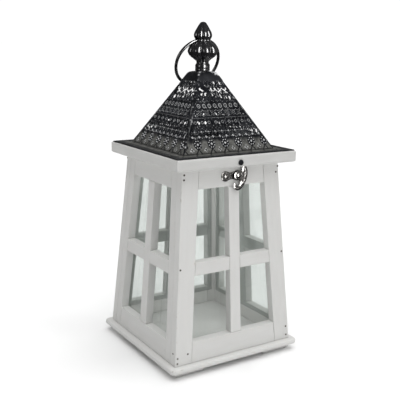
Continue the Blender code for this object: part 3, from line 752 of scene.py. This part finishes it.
ROOF_SHEET_T = 0.7
ROOF_PHASE = -4.2            # the stamped pattern runs on round the roof, so it sits off the middle
FLOWER_PITCH = 20.4
FLOWER_Z = 290.0
FLOWER_R = 5.7
SMALL_PITCH = FLOWER_PITCH / 2
SEAM_HALF = 1.3              # half width of the folded seams down the corners
ZIGZAG_TOP = 6.2             # how far the zigzag border reaches up the roof and out over the flange
ZIGZAG_FOOT = -9.5
LEAF_LEAN, BUD_LEAN = radians(32), radians(20)
LINE_HALF = 0.55             # half width of the zigzag's black line
BARE_TOP = 295.0             # the border's bare ground ends about here, above the flowers
DIAMONDS_Z = 283.2           # the rows over the roof, from its foot to its cap
LEAVES_Z = 301.0
PINHOLES_Z = 308.4
LATTICE_Z = 315.0
BEAD_Z = 320.2
OVALS_Z = 326.0
COINS_Z = 334.4
LOW_BUDS_Z = 343.0
STARS_Z = 351.6
HIGH_BUDS_Z = 361.2


def roof_half(z):
    return (ROOF_APEX - z) * ROOF_RUN


def row(pitch, z, phase=0.0):
    """The places across a face of what repeats along a row."""
    reach = roof_half(z)
    count = int(reach / pitch) + 2
    return [phase + pitch * i for i in range(-count, count + 1) if abs(phase + pitch * i) < reach]


def roof_place(x, z, height):
    """A point of the front face, at a height over the sheet's outer surface."""
    return Vector((x, -roof_half(z) - height * cos(ROOF_PITCH), z + height * sin(ROOF_PITCH)))


def zigzag(reach):
    """The border's line over (across, up from the fold), with a point under each flower."""
    half = FLOWER_PITCH / 2
    count = int(reach / half) + 3
    return [(ROOF_PHASE + half * i, ZIGZAG_FOOT if i % 2 else ZIGZAG_TOP) for i in range(-count, count + 1)]


def from_zigzag(x, up):
    """About how far a point lies from the border's line."""
    wave = abs(((x - ROOF_PHASE) / FLOWER_PITCH) % 1.0 - 0.5) * 2
    rise = (ZIGZAG_TOP - ZIGZAG_FOOT)
    lean = atan2(rise, FLOWER_PITCH / 2)
    return abs(up - (ZIGZAG_FOOT + rise * wave)) * cos(lean)


def roof_bare(x, z):
    """Bare round the flowers and the border's line, and black above them."""
    up = (z - ROOF_LOW.z) / cos(ROOF_PITCH)
    nearest = min(hypot(x - ROOF_PHASE - FLOWER_PITCH * i, z - FLOWER_Z) for i in range(-4, 5))
    if nearest < FLOWER_R * 1.04 or from_zigzag(x, up) < LINE_HALF:
        return 0.0
    edge = BARE_TOP + 4.0 * noise.noise(Vector((x * 0.16, z * 0.16, 4.0)))
    return min(1.0, max(0.0, (edge - z) / 4.0))


def stamp_foot(sheet, foot):
    """The border round the foot: rosettes over the zigzag's points, and diamonds between them."""
    for x in row(FLOWER_PITCH, FLOWER_Z, ROOF_PHASE):
        sheet.rosette(x, FLOWER_Z, FLOWER_R, 8, 1.0)
    line = [(x, foot + up * cos(ROOF_PITCH)) for x, up in zigzag(roof_half(foot))]
    sheet.groove(line, -0.5)
    for x in row(FLOWER_PITCH, DIAMONDS_Z - 0.6, ROOF_PHASE + SMALL_PITCH):
        sheet.hole(x, DIAMONDS_Z, 0.8, 1.0, 0.0, 4, lip=1.3, height=1.1)


def stamp_middle(sheet):
    """Leaves, pinholes, a lattice, ovals and coins."""
    middle = SMALL_PITCH / 2
    for x in row(SMALL_PITCH, LEAVES_Z, ROOF_PHASE):
        sheet.hole(x - 2.5, LEAVES_Z, 1.9, 3.5, LEAF_LEAN, 10, height=0.8)
        sheet.hole(x + 2.6, LEAVES_Z, 1.9, 3.5, -LEAF_LEAN, 10, height=0.8)
        sheet.boss(x, LEAVES_Z + 3.4, 0.9, 0.6)
        sheet.boss(x + middle, LEAVES_Z - 2.6, 1.1, 0.7)
    for x in row(middle, PINHOLES_Z, ROOF_PHASE):
        sheet.hole(x, PINHOLES_Z, 1.2, 1.5, 0.0, 8, lip=0.5, height=0.5)
    for x in row(SMALL_PITCH, LATTICE_Z, ROOF_PHASE):
        sheet.hole(x, LATTICE_Z, 2.4, 3.2, 0.0, 4, lip=0.8, height=0.8)
        sheet.ring(x + middle, LATTICE_Z, 2.2, 0.7, 10)
    sheet.bead(BEAD_Z, roof_half(BEAD_Z), 0.5)
    for x in row(SMALL_PITCH, OVALS_Z, ROOF_PHASE):
        sheet.hole(x, OVALS_Z, 2.2, 2.7, 0.0, 8, lip=0.8, height=0.75)
        sheet.ring(x + middle, OVALS_Z - 1.8, 1.7, 0.6, 7)
        sheet.ring(x + middle, OVALS_Z + 2.1, 1.6, 0.6, 7)
    pitch = SMALL_PITCH * 0.8
    for x in row(pitch, COINS_Z, ROOF_PHASE):
        sheet.ring(x, COINS_Z, 3.1, 0.7, 12, centre=0.7)
        sheet.hole(x + pitch / 2, COINS_Z - 2.0, 0.9, 1.0, 0.0, 6, 0.0)
        sheet.hole(x + pitch / 2, COINS_Z + 2.2, 0.9, 1.0, 0.0, 6, 0.0)


def stamp_buds(sheet, pitch, z, phase, a, b):
    """A row of buds that lean left and right in turn."""
    for index, x in enumerate(row(pitch, z, phase)):
        sheet.hole(x, z, a, b, BUD_LEAN if index % 2 else -BUD_LEAN, 9, lip=0.4, height=0.6)


def stamp_top(sheet):
    """Stars between two rows of buds."""
    pitch, phase = SMALL_PITCH * 1.1, ROOF_PHASE / 2
    stamp_buds(sheet, SMALL_PITCH * 0.68, LOW_BUDS_Z, ROOF_PHASE, 2.5, 3.2)
    for x in row(pitch, STARS_Z, phase):
        sheet.flower(x, STARS_Z, 4.8, petals=6, core=0.48, petal=0.3)
    for x in row(pitch, STARS_Z, phase + pitch / 2):
        sheet.hole(x, STARS_Z - 3.2, 1.5, 1.7, 0.0, 6, 0.3)
        sheet.hole(x, STARS_Z + 3.4, 1.8, 2.0, 0.0, 6, 0.3)
    stamp_buds(sheet, SMALL_PITCH * 0.7, HIGH_BUDS_Z, phase, 2.4, 3.0)


def fleck_share(x, z):
    """How many of the plain points stand up: few at the foot, and most beside the seams."""
    if z < BARE_TOP:
        return 0.03
    if roof_half(z) - abs(x) < 6.5:
        return 0.3
    return 0.16 if z < COINS_Z + 3.6 else 0.12


def roof_pattern():
    """One face's stamped pattern, from its foot up."""
    foot, top = ROOF_LOW.z + 0.1, ROOF_HIGH.z - 2.0

    def inside(x, z, margin):
        room = (roof_half(z) - abs(x)) * cos(ROOF_PITCH)
        return room > margin + SEAM_HALF * 0.8 and foot + margin < z < top - margin

    half = [roof_half(z) - 0.02 for z in (foot, top)]
    sheet = Sheet([(-half[0], foot), (half[0], foot), (half[1], top), (-half[1], top)], inside)
    stamp_foot(sheet, foot)
    stamp_middle(sheet)
    stamp_top(sheet)
    sheet.fill(1.6, fleck_share, random.Random(7))
    return sheet.triangulate(roof_bare)


def make_roof(metal):
    """Four faces of pierced sheet, and the raised seams at their corners."""
    pattern = roof_pattern()
    bm, layers = sheet_bmesh()
    for quarter in range(4):
        turn = quarter_turn(quarter)
        sheet_metal(bm, pattern, turn, roof_place, ROOF_SHEET_T, layers)
    make_piece("pierced_roof", bm, "lid", metal, ("roof_shell",), sharp=50.0, flip=False)
    for quarter, name in enumerate(("front_left", "front_right", "back_right", "back_left")):
        make_seam(name, quarter_turn(quarter), quarter, metal)


def make_seam(name, turn, seed, metal):
    """The folded seam down one corner, hammered uneven."""
    bm, (relief, _) = sheet_bmesh()
    foot, top, steps = ROOF_LOW.z + 0.2, ROOF_HIGH.z - 3.0, 60
    rings, silver = [], []
    for i in range(steps + 1):
        z = foot + (top - foot) * i / steps
        half = roof_half(z)
        beat = noise.noise(Vector((z * 0.55, seed * 9.0, 0.0)))
        wide = SEAM_HALF * (1.0 + 0.3 * beat)
        section = [(wide, -0.5), (wide, 0.2), (wide * 0.55, 0.5 + 0.25 * beat), (0.0, 0.25 + 0.2 * beat)]
        left = [Vector((-half + w, -half - h, z)) for w, h in section]
        right = [Vector((-half - h, -half + w, z)) for w, h in reversed(section[:-1])]
        rings.append([turn @ point for point in left + right + [Vector((-half + 0.6, -half + 0.6, z))]])
        silver.append(max(0.0, 0.22 + 0.9 * noise.noise(Vector((z * 0.8, seed * 5.0, 2.0)))))
    rows = ring_rows(bm, rings)
    bm.faces.new(rows[0])
    bm.faces.new(rows[-1])
    for ring, value in zip(rows, silver):
        for vert in ring:
            vert[relief] = value
    make_piece(f"roof_seam_{name}", bm, "lid", metal, sharp=60.0)


FLANGE_SHEET_T = 0.8
FLANGE_RIM = 0.7             # radius of the rolled edge


def make_flange(metal):
    """The foot of the roof, which lies flat on the lid: the border's zigzag and a dark rolled edge."""
    outer, inner = FLANGE_HIGH.x - FLANGE_RIM, roof_half(ROOF_LOW.z) - 4.0
    fold = roof_half(ROOF_LOW.z)
    top_z = FLANGE_HIGH.z - 0.15

    def inside(x, y, margin):
        return inner + margin < y < outer - margin and abs(x) < y - margin * 1.5

    def bare_at(x, y):
        if from_zigzag(x, fold - y) < LINE_HALF:
            return 0.0
        return 0.12 + 0.88 * min(1.0, max(0.0, (fold - ZIGZAG_FOOT + 1.0 - y) / 2.5))

    def place(x, y, height):
        return Vector((x, -y, top_z + min(height, 0.15)))

    sheet = Sheet([(-inner, inner), (inner, inner), (outer, outer), (-outer, outer)], inside)
    line = [(x, fold - up) for x, up in zigzag(outer)]
    sheet.groove(line, -0.4)
    sheet.fill(1.9, lambda x, y: 0.1, random.Random(9))
    pattern = sheet.triangulate(bare_at)
    bm, layers = sheet_bmesh()
    for quarter in range(4):
        turn = quarter_turn(quarter)
        sheet_metal(bm, pattern, turn, place, FLANGE_SHEET_T, layers)
    make_piece("bordered_flange", bm, "lid", metal, ("roof_flange",), sharp=50.0)
    make_flange_rim(outer, top_z, metal)


def make_flange_rim(outer, top_z, metal):
    """The flange's rolled edge, which wavers a little."""
    bm, (relief, _) = sheet_bmesh()
    steps = 70
    rings = []
    corners = [Vector((sx, sy, 0)) * outer for sx, sy in ((-1, -1), (1, -1), (1, 1), (-1, 1))]
    for start, end in zip(corners, corners[1:] + corners[:1]):
        for i in range(steps):
            spot = start.lerp(end, i / steps)
            inward = -spot.normalized() if i == 0 else -(start + end).normalized()
            wave = 0.5 * abs(noise.noise(Vector((spot.x * 0.07, spot.y * 0.07, 3.0))))
            centre = spot + inward * wave + Vector((0, 0, top_z - FLANGE_RIM * 0.8))
            rings.append([centre - inward * FLANGE_RIM * cos(a) + Vector((0, 0, FLANGE_RIM * sin(a)))
                          for a in (2 * pi * k / 8 for k in range(8))])
    rows = ring_rows(bm, rings, closed=True)
    for index, ring in enumerate(rows):
        for vert in ring:
            vert[relief] = max(0.0, 0.55 * noise.noise(Vector((index * 0.31, 7.0, 1.0))))
    make_piece("flange_rolled_edge", bm, "lid", metal, sharp=60.0)


CAP_T = 0.7
CAP_CORNER = 1.2             # radius of the cap's corners
CAP_RUB_AND_HIGHLIGHT = {                 # how far each top corner is rubbed, by whether it is left and in front: wear, and on the front right corner also a painted highlight
    (True, True): 0.35, (False, True): 0.95, (False, False): 0.5, (True, False): 0.4}


def cap_ring(half, z):
    """One level of the cap: its four rounded corners, and slightly dented sides between them."""
    ring = []
    for quarter in range(4):
        turn = quarter_turn(quarter)
        for i in range(5):
            angle = -pi + i / 4 * pi / 2
            spot = Vector((cos(angle), sin(angle), 0)) * CAP_CORNER
            ring.append(turn @ (spot + Vector((CAP_CORNER - half, CAP_CORNER - half, z))))
        for i in range(1, 12):
            x = (CAP_CORNER - half) * (1 - i / 6)
            dent = 0.15 * (1 + noise.noise(Vector((x * 0.25, z * 0.25, quarter * 5.0))))
            ring.append(turn @ Vector((x, dent - half, z)))
    return ring


def make_cap(metal):
    """The square cap over the roof's top, with softened shoulders, rubbed corners and a silver patch at the
    top of its front right corner that is partly wear and partly a painted highlight.
    """
    foot, top = CAP_LOW.z, CAP_HIGH.z
    sink = 0.45                  # it sits this much closer to the roof than the CAD cap
    levels = [(foot + 1.2, -CAP_T), (foot + 0.1, -CAP_T * 0.9), (foot, -0.3), (foot + 0.3, 0.0)]
    levels += [(foot + 1.0 + (top - foot - 4.0) * i / 7, 0.0) for i in range(8)]
    levels += [(top - 2.1, -0.15), (top - 1.3, -0.6), (top - 0.75, -1.4), (top - 0.35, -2.6), (top, -4.6)]
    bm, (relief, _) = sheet_bmesh()
    rings = [cap_ring((CAP_APEX - z) * ROOF_RUN - sink + out, z) for z, out in levels]
    brim = rings[-1]
    for share, z in ((0.72, top), (0.42, top), (0.42, top - CAP_T), (0.9, top - CAP_T - 0.3)):
        rings.append([Vector((p.x * share, p.y * share, z)) for p in brim])
    ring_rows(bm, rings, closed=True)
    for vert in bm.verts:
        x, y, z = vert.co
        near = min(abs(x), abs(y)) / max(abs(x), abs(y), 0.1)
        shoulder = max(0.0, 1.0 - (top - z) / 7.0)
        fleck = 0.7 + 0.6 * noise.noise(vert.co * 0.45)
        ridge = max(0.0, near - 0.86) / 0.14
        # Silver up the shoulders: rubbed paint, and on the front right corner also a painted highlight.
        rub_and_highlight = max(0.0, near - 0.2) / 0.8 * shoulder * CAP_RUB_AND_HIGHLIGHT[x < 0, y < 0]
        vert[relief] = max(0.0, (0.45 * ridge + 2.1 * rub_and_highlight) * fleck)
    make_piece("square_cap", bm, "lid", metal, ("roof_cap",), sharp=55.0)


# ---------------------------------------------------------------- finial, ring and stud

FINIAL_KNOTS = (             # radius and height over the cap, from the collar up
    (8.9, 9.4), (8.1, 10.6), (8.5, 13.0), (11.4, 15.4), (17.2, 20.2), (19.4, 25.2), (18.3, 30.0),
    (16.2, 33.0), (12.0, 36.3), (9.6, 38.8), (9.9, 41.0), (11.2, 44.0), (11.4, 47.0), (10.3, 50.5),
    (8.7, 53.5), (7.1, 56.5), (5.7, 59.0))
LOBES = 8
LOBE_TURN = radians(30.0)    # one lobe's middle
BULBS = (                    # height over the cap, half height, depth of the grooves, swell of the lobes
    (23.5, 13.0, 0.2, 0.045), (46.0, 14.5, 0.13, 0.065))
EYE_BORE = 4.2               # radius of the ring's hole


def finial_radius(r, z, angle):
    """The turned radius, cut by the grooves between the lobes of both bulbs."""
    groove = (1.0 - abs(cos(LOBES / 2 * (angle - LOBE_TURN)))) ** 1.25
    for middle, half, depth, swell in BULBS:
        share = 1.0 - ((z - CAP_HIGH.z - middle) / half) ** 2
        if share > 0:
            r *= 1.0 + share ** 0.6 * (swell - depth * groove)
    return r


def make_finial(enamel):
    """A cast knob: a ringed collar, a large fluted bulb and a smaller one that ends in a bud."""
    foot = CAP_HIGH.z + 0.3
    collar = [(9.0, 0.0), (9.6, 0.5), (9.6, 2.6), (9.2, 3.1), (9.6, 3.6), (9.6, 7.6), (9.3, 8.2)]
    profile = [(r, foot + h) for r, h in collar]
    profile += [(p.x, CAP_HIGH.z + p.y) for p in smooth_through(FINIAL_KNOTS, 5)]
    tip = FINIAL_HIGH.z - 3.6
    profile += [(5.0 * cos(a), tip + 3.6 * sin(a)) for a in (radians(d) for d in (8, 24, 40, 55, 68, 80))]
    stem_r, stem_foot = 3.0, FINIAL_LOW.z
    thread = []
    pitch = 1.0
    turns = int((foot - stem_foot) / pitch)
    for i in range(turns):
        z = stem_foot + i * pitch
        thread += [(stem_r - 0.35, z), (stem_r, z + pitch / 2)]
    bm = bmesh.new()
    turned(bm, thread + [(stem_r, foot)] + profile, 96, FINIAL_HIGH.z, finial_radius)
    finial = make_piece("fluted_finial", bm, "lid", enamel, ("finial",), sharp=65.0)

    bore = bmesh.new()
    flare = EYE_BORE + 1.2
    turned(bore, [(flare, -13.0), (EYE_BORE, -9.0), (EYE_BORE, 9.0), (flare, 13.0)], 32)
    place = Matrix.Translation(EYE) @ Matrix.Rotation(pi / 2, 4, "Y")
    bmesh.ops.transform(bore, matrix=place, verts=bore.verts)
    tool_mesh = finished_mesh("eye bore", bore)
    tool = bpy.data.objects.new("eye bore", tool_mesh)
    bpy.context.scene.collection.objects.link(tool)
    cut = finial.modifiers.new("eye", "BOOLEAN")
    cut.object = tool
    cut.operation = "DIFFERENCE"
    cut.solver = "EXACT"
    bake_modifiers(finial)
    bpy.data.objects.remove(tool, do_unlink=True)
    finial.data.shade_smooth()
    finial.data.set_sharp_from_angle(angle=radians(55))


def bake_modifiers(piece):
    """Make what the modifiers give the piece's own mesh."""
    evaluated = piece.evaluated_get(bpy.context.evaluated_depsgraph_get())
    mesh = bpy.data.meshes.new_from_object(evaluated)
    piece.modifiers.clear()
    piece.data = mesh


def make_ring(enamel):
    """The round wire handle, butt welded at its foot."""
    wire = (RING_HIGH.x - RING_LOW.x) / 2
    points = [v.co / MM for v in frame["nodes"]["ring_handle"].data.vertices]
    centre = sum(points, Vector()) / len(points)
    down = (centre - EYE).normalized()
    radius = (centre - EYE).length
    wire_r = wire - radius + 0.25
    side = RING_AXIS.normalized()
    normal = side.cross(down)
    around, across = 144, 18
    rings = []
    for i in range(around):
        angle = 2 * pi * i / around
        out = cos(angle) * side + sin(angle) * down
        weld = 0.28 * max(0.0, 1.0 - abs(angle - pi / 2) / 0.07)
        r = wire_r * (1.0 + 0.02 * noise.noise(Vector((angle * 6.0, 0.0, 0.0)))) - 0.1 + weld
        rings.append([centre + (radius + r * cos(2 * pi * k / across)) * out
                      + r * sin(2 * pi * k / across) * normal for k in range(across)])
    bm = bmesh.new()
    ring_rows(bm, rings, closed=True)
    make_piece("wire_ring", bm, "ring", enamel, ("ring_handle",), sharp=None)


def make_stud(enamel):
    """The round-headed stud on the lid's edge."""
    centre = Vector(((STUD_LOW.x + STUD_HIGH.x) / 2, LID_LOW.y, (STUD_LOW.z + STUD_HIGH.z) / 2))
    head_r = (STUD_HIGH.x - STUD_LOW.x) / 2
    proud = LID_LOW.y - STUD_LOW.y
    shank_r = 1.5
    profile = [(shank_r, -STUD_HIGH.y + LID_LOW.y), (shank_r, 0.3), (head_r * 0.97, 0.4), (head_r, 0.75)]
    rise = proud - 0.8
    for i in range(1, 9):
        angle = i / 9 * pi / 2
        profile.append((head_r * cos(angle), 0.75 + rise * sin(angle)))
    bm = bmesh.new()
    turned(bm, profile, 40, proud - 0.02)
    stand_on(bm, centre, Vector((0, -1, 0)))
    make_piece("domed_stud", bm, "lid", enamel, ("lid_stud",), sharp=50.0)


# ---------------------------------------------------------------- latch

LEVER_KNOTS = (              # the lever's outline, across and up from its pivot
    (8.5, 12.5), (6.5, 9.0), (5.7, 5.5), (1.7, 6.1), (-3.9, 3.9), (-5.8, -0.5), (-3.5, -5.2), (1.1, -6.3),
    (3.3, -8.9), (2.3, -11.9), (-0.5, -13.9), (-2.9, -12.9), (-3.1, -9.9), (-5.3, -8.9), (-7.1, -12.5),
    (-5.5, -16.9), (-0.7, -19.1), (5.1, -16.9), (10.7, -10.1), (14.1, -1.9), (14.7, 4.9), (12.9, 10.1),
    (10.7, 12.5))


PIVOT_BORE = 1.75
CROWN, CROWN_REACH = 0.8, 3.6    # the lever's rounding, down and in from its edge


def reach_of(node, axis):
    """How near and how far a node lies along an axis, from the latch's pivot."""
    reach = [(v.co / MM - PIVOT).dot(axis) for v in frame["nodes"][node].data.vertices]
    return min(reach), max(reach)


def make_lever(steel):
    """The swing lever: a crescent with a curled finger end and a crowned face."""
    right, up, out = side_axes("front")
    near, far = reach_of("latch_lever", out)
    rim = [Vector((p.x, p.y)) for p in smooth_through(LEVER_KNOTS, 5, closed=True)]

    def from_rim(p):
        return min((p - q).length for q in rim)

    def sunk(p):
        """How far the crowned face lies below its middle."""
        return CROWN * max(0.0, 1.0 - from_rim(p) / CROWN_REACH) ** 2

    step = 0.9
    inner = [Vector((x * step, y * step)) for x in range(-9, 18) for y in range(-22, 16)]
    inner = [p for p in inner if p.length > 3.0 and from_rim(p) > 0.6]
    flat, triangles, _ = pierced(rim, [ellipse(0.0, 0.0, PIVOT_BORE, PIVOT_BORE, 0.0, 24)], inner)
    bm = bmesh.new()
    top = [bm.verts.new(PIVOT + right * p.x + up * p.y + out * (far - sunk(p))) for p in flat]
    under = [bm.verts.new(PIVOT + right * p.x + up * p.y + out * near) for p in flat]
    skin_slab(bm, triangles, top, under)
    bmesh.ops.delete(bm, geom=[v for v in bm.verts if not v.link_faces], context="VERTS")
    lever = make_piece("crescent_lever", bm, "lever", steel, ("latch_lever",), sharp=60.0)
    round_edges(lever, 0.3, 2, 50.0)


PLATE_SCREW_X = -16.7        # from the pivot
PLATE_R, PLATE_WAIST = 6.65, 4.3


def make_latch_plate(steel):
    """The latch's plate: two round eyes joined by a waist, a little domed."""
    right, up, out = side_axes("front")
    near, far = reach_of("latch_plate", out)
    knots = []
    for x, start in ((0.0, -128.0), (PLATE_SCREW_X, 52.0)):
        for k in range(9):
            angle = radians(start + 256.0 * k / 8)
            knots.append((x + PLATE_R * cos(angle), PLATE_R * sin(angle)))
        knots.append((PLATE_SCREW_X / 2, PLATE_WAIST if x == 0.0 else -PLATE_WAIST))
    outline = smooth_through(knots, 4, closed=True)
    bm = bmesh.new()
    levels = [(0.0, near), (0.0, far - 0.55), (0.2, far - 0.2), (0.6, far - 0.03), (1.2, far)]
    rings = []
    for inset, height in levels:
        ring = []
        for i, p in enumerate(outline):
            before, after = outline[i - 1], outline[(i + 1) % len(outline)]
            inward = Vector((before.y - after.y, after.x - before.x)).normalized() * inset
            ring.append(PIVOT + right * (p.x + inward.x) + up * (p.y + inward.y) + out * height)
        rings.append(ring)
    rows = ring_rows(bm, rings)
    bm.faces.new(rows[0])
    bm.faces.new(rows[-1])
    make_piece("figure_eight_plate", bm, "root", steel, ("latch_plate",), sharp=50.0)


def refine_small(node, look, width, segments):
    """A copy of a small CAD piece with rounded edges."""
    piece = make_piece("fine_" + node, node_bmesh(node), body_of(node), look, (node,), sharp=50.0)
    round_edges(piece, width, segments, 35.0)


def make_small_metal(bright, dull):
    """The latch's rivet and screw, the finial's nut, and the hinges."""
    refine_small("latch_pivot_rivet", bright, 0.18, 3)
    refine_small("latch_screw", bright, 0.14, 3)
    refine_small("finial_nut", dull, 0.35, 3)
    for node in frame["nodes"]:
        if node.startswith("hinge_"):
            refine_small(node, dull, 0.12 if "screw" in node else 0.22, 2)


# ---------------------------------------------------------------- camera, floor and light

CAMERA_AT = (-0.4984, -0.7826, 0.4152)
CAMERA_AZIMUTH, CAMERA_ELEVATION, CAMERA_ROLL = radians(-32.472), radians(12.891), radians(0.967)
CAMERA_LENS = 62.593


def make_camera():
    data = bpy.data.cameras.new("camera")
    data.lens = CAMERA_LENS
    data.sensor_width = 36.0
    camera = bpy.data.objects.new("camera", data)
    camera.matrix_world = (Matrix.Translation(CAMERA_AT)
                           @ Matrix.Rotation(CAMERA_AZIMUTH, 4, "Z")
                           @ Matrix.Rotation(pi / 2 - CAMERA_ELEVATION, 4, "X")
                           @ Matrix.Rotation(CAMERA_ROLL, 4, "Z"))
    bpy.context.scene.collection.objects.link(camera)
    bpy.context.scene.camera = camera


def make_floor():
    """A very large pale floor, so that no horizon shows."""
    radius, count = 60.0, 64
    mesh = bpy.data.meshes.new("floor")
    rim = [(x, y, 0.0) for x, y in ellipse(0.0, 0.0, radius, radius, 0.0, count)]
    mesh.from_pydata(rim, [], [list(range(count))])
    floor = bpy.data.objects.new("floor", mesh)
    bpy.context.scene.collection.objects.link(floor)
    look = Look("pale floor", Roughness=0.9)
    spot = look.node("TexCoord").outputs["Object"]
    mottle = look.noise(spot, 3.0, 3.0)
    colour = look.mix(mottle, (0.97, 0.97, 0.97), (0.985, 0.985, 0.985))
    mesh.materials.append(look.feed(Base_Color=colour))
    floor.visible_glossy = False


def make_lamp(name, kind, place, aim, energy, glossy=True, only=None, **settings):
    """A lamp for everything's matt light, or a strip that only shows as a highlight in some pieces."""
    data = bpy.data.lights.new(name, kind)
    data.energy = energy
    for key, value in settings.items():
        setattr(data, key, value)
    lamp = bpy.data.objects.new(name, data)
    lamp.visible_camera = False
    lamp.visible_glossy = glossy
    if only:
        lamp.visible_diffuse = False
        lamp.light_linking.receiver_collection = only
    lamp.visible_transmission = False
    lamp.location = place
    lamp.rotation_euler = (Vector(aim) - Vector(place)).to_track_quat("-Z", "Y").to_euler()
    bpy.context.scene.collection.objects.link(lamp)


BRIGHT_SIDE = (0.45, -0.35, 0.75)
DIM_LEVEL, BRIGHT_LEVEL = 0.14, 0.52
MIRROR_SHARE = 0.3           # gloss mirrors a room that is darker than its soft light suggests
SWEEP_LEVEL = 1.05
WHITE = (1.0, 1.0, 1.0, 1.0)
POLISHED = ("fluted_finial", "wire_ring", "crescent_lever", "figure_eight_plate", "fine_latch_screw",
            "fine_latch_pivot_rivet", "square_cap")


def make_world():
    """A studio that is brighter in front, to the right and overhead, with a white sweep behind."""
    world = bpy.data.worlds.new("studio")
    world.use_nodes = True
    tree = world.node_tree
    tree.nodes.clear()
    way = add_node(tree, "TexCoord").outputs["Generated"]
    bright = Vector(BRIGHT_SIDE).normalized()
    toward = add_node(tree, "VectorMath", {0: way, 1: bright}, operation="DOT_PRODUCT").outputs["Value"]
    room = add_node(tree, "MapRange", {"Value": toward, "From Min": -0.8, "From Max": 1.0,
                                       "To Min": DIM_LEVEL, "To Max": BRIGHT_LEVEL})
    path = add_node(tree, "LightPath").outputs
    mirror = add_node(tree, "MapRange", {"Value": path["Is Glossy Ray"], "To Min": 1.0,
                                         "To Max": MIRROR_SHARE})
    level = add_node(tree, "Math", {0: room.outputs["Result"], 1: mirror.outputs["Result"]},
                     operation="MULTIPLY")
    glow = add_node(tree, "Background", {"Color": WHITE, "Strength": level.outputs["Value"]})
    sweep = add_node(tree, "Background", {"Color": WHITE, "Strength": SWEEP_LEVEL})
    seen = add_node(tree, "MixShader", {0: path["Is Camera Ray"], 1: glow.outputs[0], 2: sweep.outputs[0]})
    add_node(tree, "OutputWorld", {"Surface": seen.outputs[0]})
    bpy.context.scene.world = world


def make_panel(name, place, aim, energy, wide, tall, **settings):
    make_lamp(name, "AREA", place, aim, energy, shape="RECTANGLE", size=wide, size_y=tall, **settings)


def make_light():
    """A bright, even room with light inside the lantern, and strips that gleam in the polished pieces."""
    make_world()
    polished = bpy.data.collections.new("polished pieces")
    for name in POLISHED:
        polished.objects.link(bpy.data.objects[name])
    middle, knob, latch = (0.0, 0.0, 0.2), (0.0, 0.0, 0.4), (0.0, -0.07, 0.24)
    make_lamp("overhead", "SUN", (0.1, -0.3, 1.9), middle, 2.28, glossy=False, angle=radians(80))
    make_panel("softbox front", (0.06, -1.5, 0.66), knob, 0.4, 0.16, 0.5, glossy=False)
    make_panel("strip front", (0.06, -1.5, 0.62), knob, 52.0, 0.46, 2.0, only=polished)
    make_panel("strip left", (-1.5, -0.17, 0.55), knob, 3.5, 0.3, 0.9, only=polished)
    make_panel("strip low", (0.95, -1.1, 0.22), latch, 0.9, 0.07, 0.4, only=polished)
    fills = (("fill low", 0.08, 0.07), ("fill middle", 0.16, 0.05), ("fill high", 0.225, 0.05),
             ("fill roof", 0.3, 0.25))
    for name, z, energy in fills:
        make_lamp(name, "POINT", (0.0, 0.0, z), middle, energy, glossy=False, shadow_soft_size=0.03)
    bpy.context.scene.view_settings.view_transform = "Standard"


# ---------------------------------------------------------------- the lantern

def main():
    wood = painted_wood()
    sheet_black = brushed_black()
    enamel = gloss_black()
    nickel = plated("nickel plate", (0.30, 0.292, 0.28), (0.10, 0.095, 0.09), 0.38)
    steel = plated("zinc plate", (0.66, 0.66, 0.65), (0.42, 0.41, 0.39), 0.5)
    make_frames(wood, window_glass())
    make_flat_boards(wood)
    make_nails(rusty_steel())
    make_roof(sheet_black)
    make_flange(sheet_black)
    make_cap(sheet_black)
    make_finial(enamel)
    make_ring(enamel)
    make_stud(sheet_black)
    make_lever(nickel)
    make_latch_plate(nickel)
    make_small_metal(nickel, steel)
    make_camera()
    make_floor()
    make_light()


main()
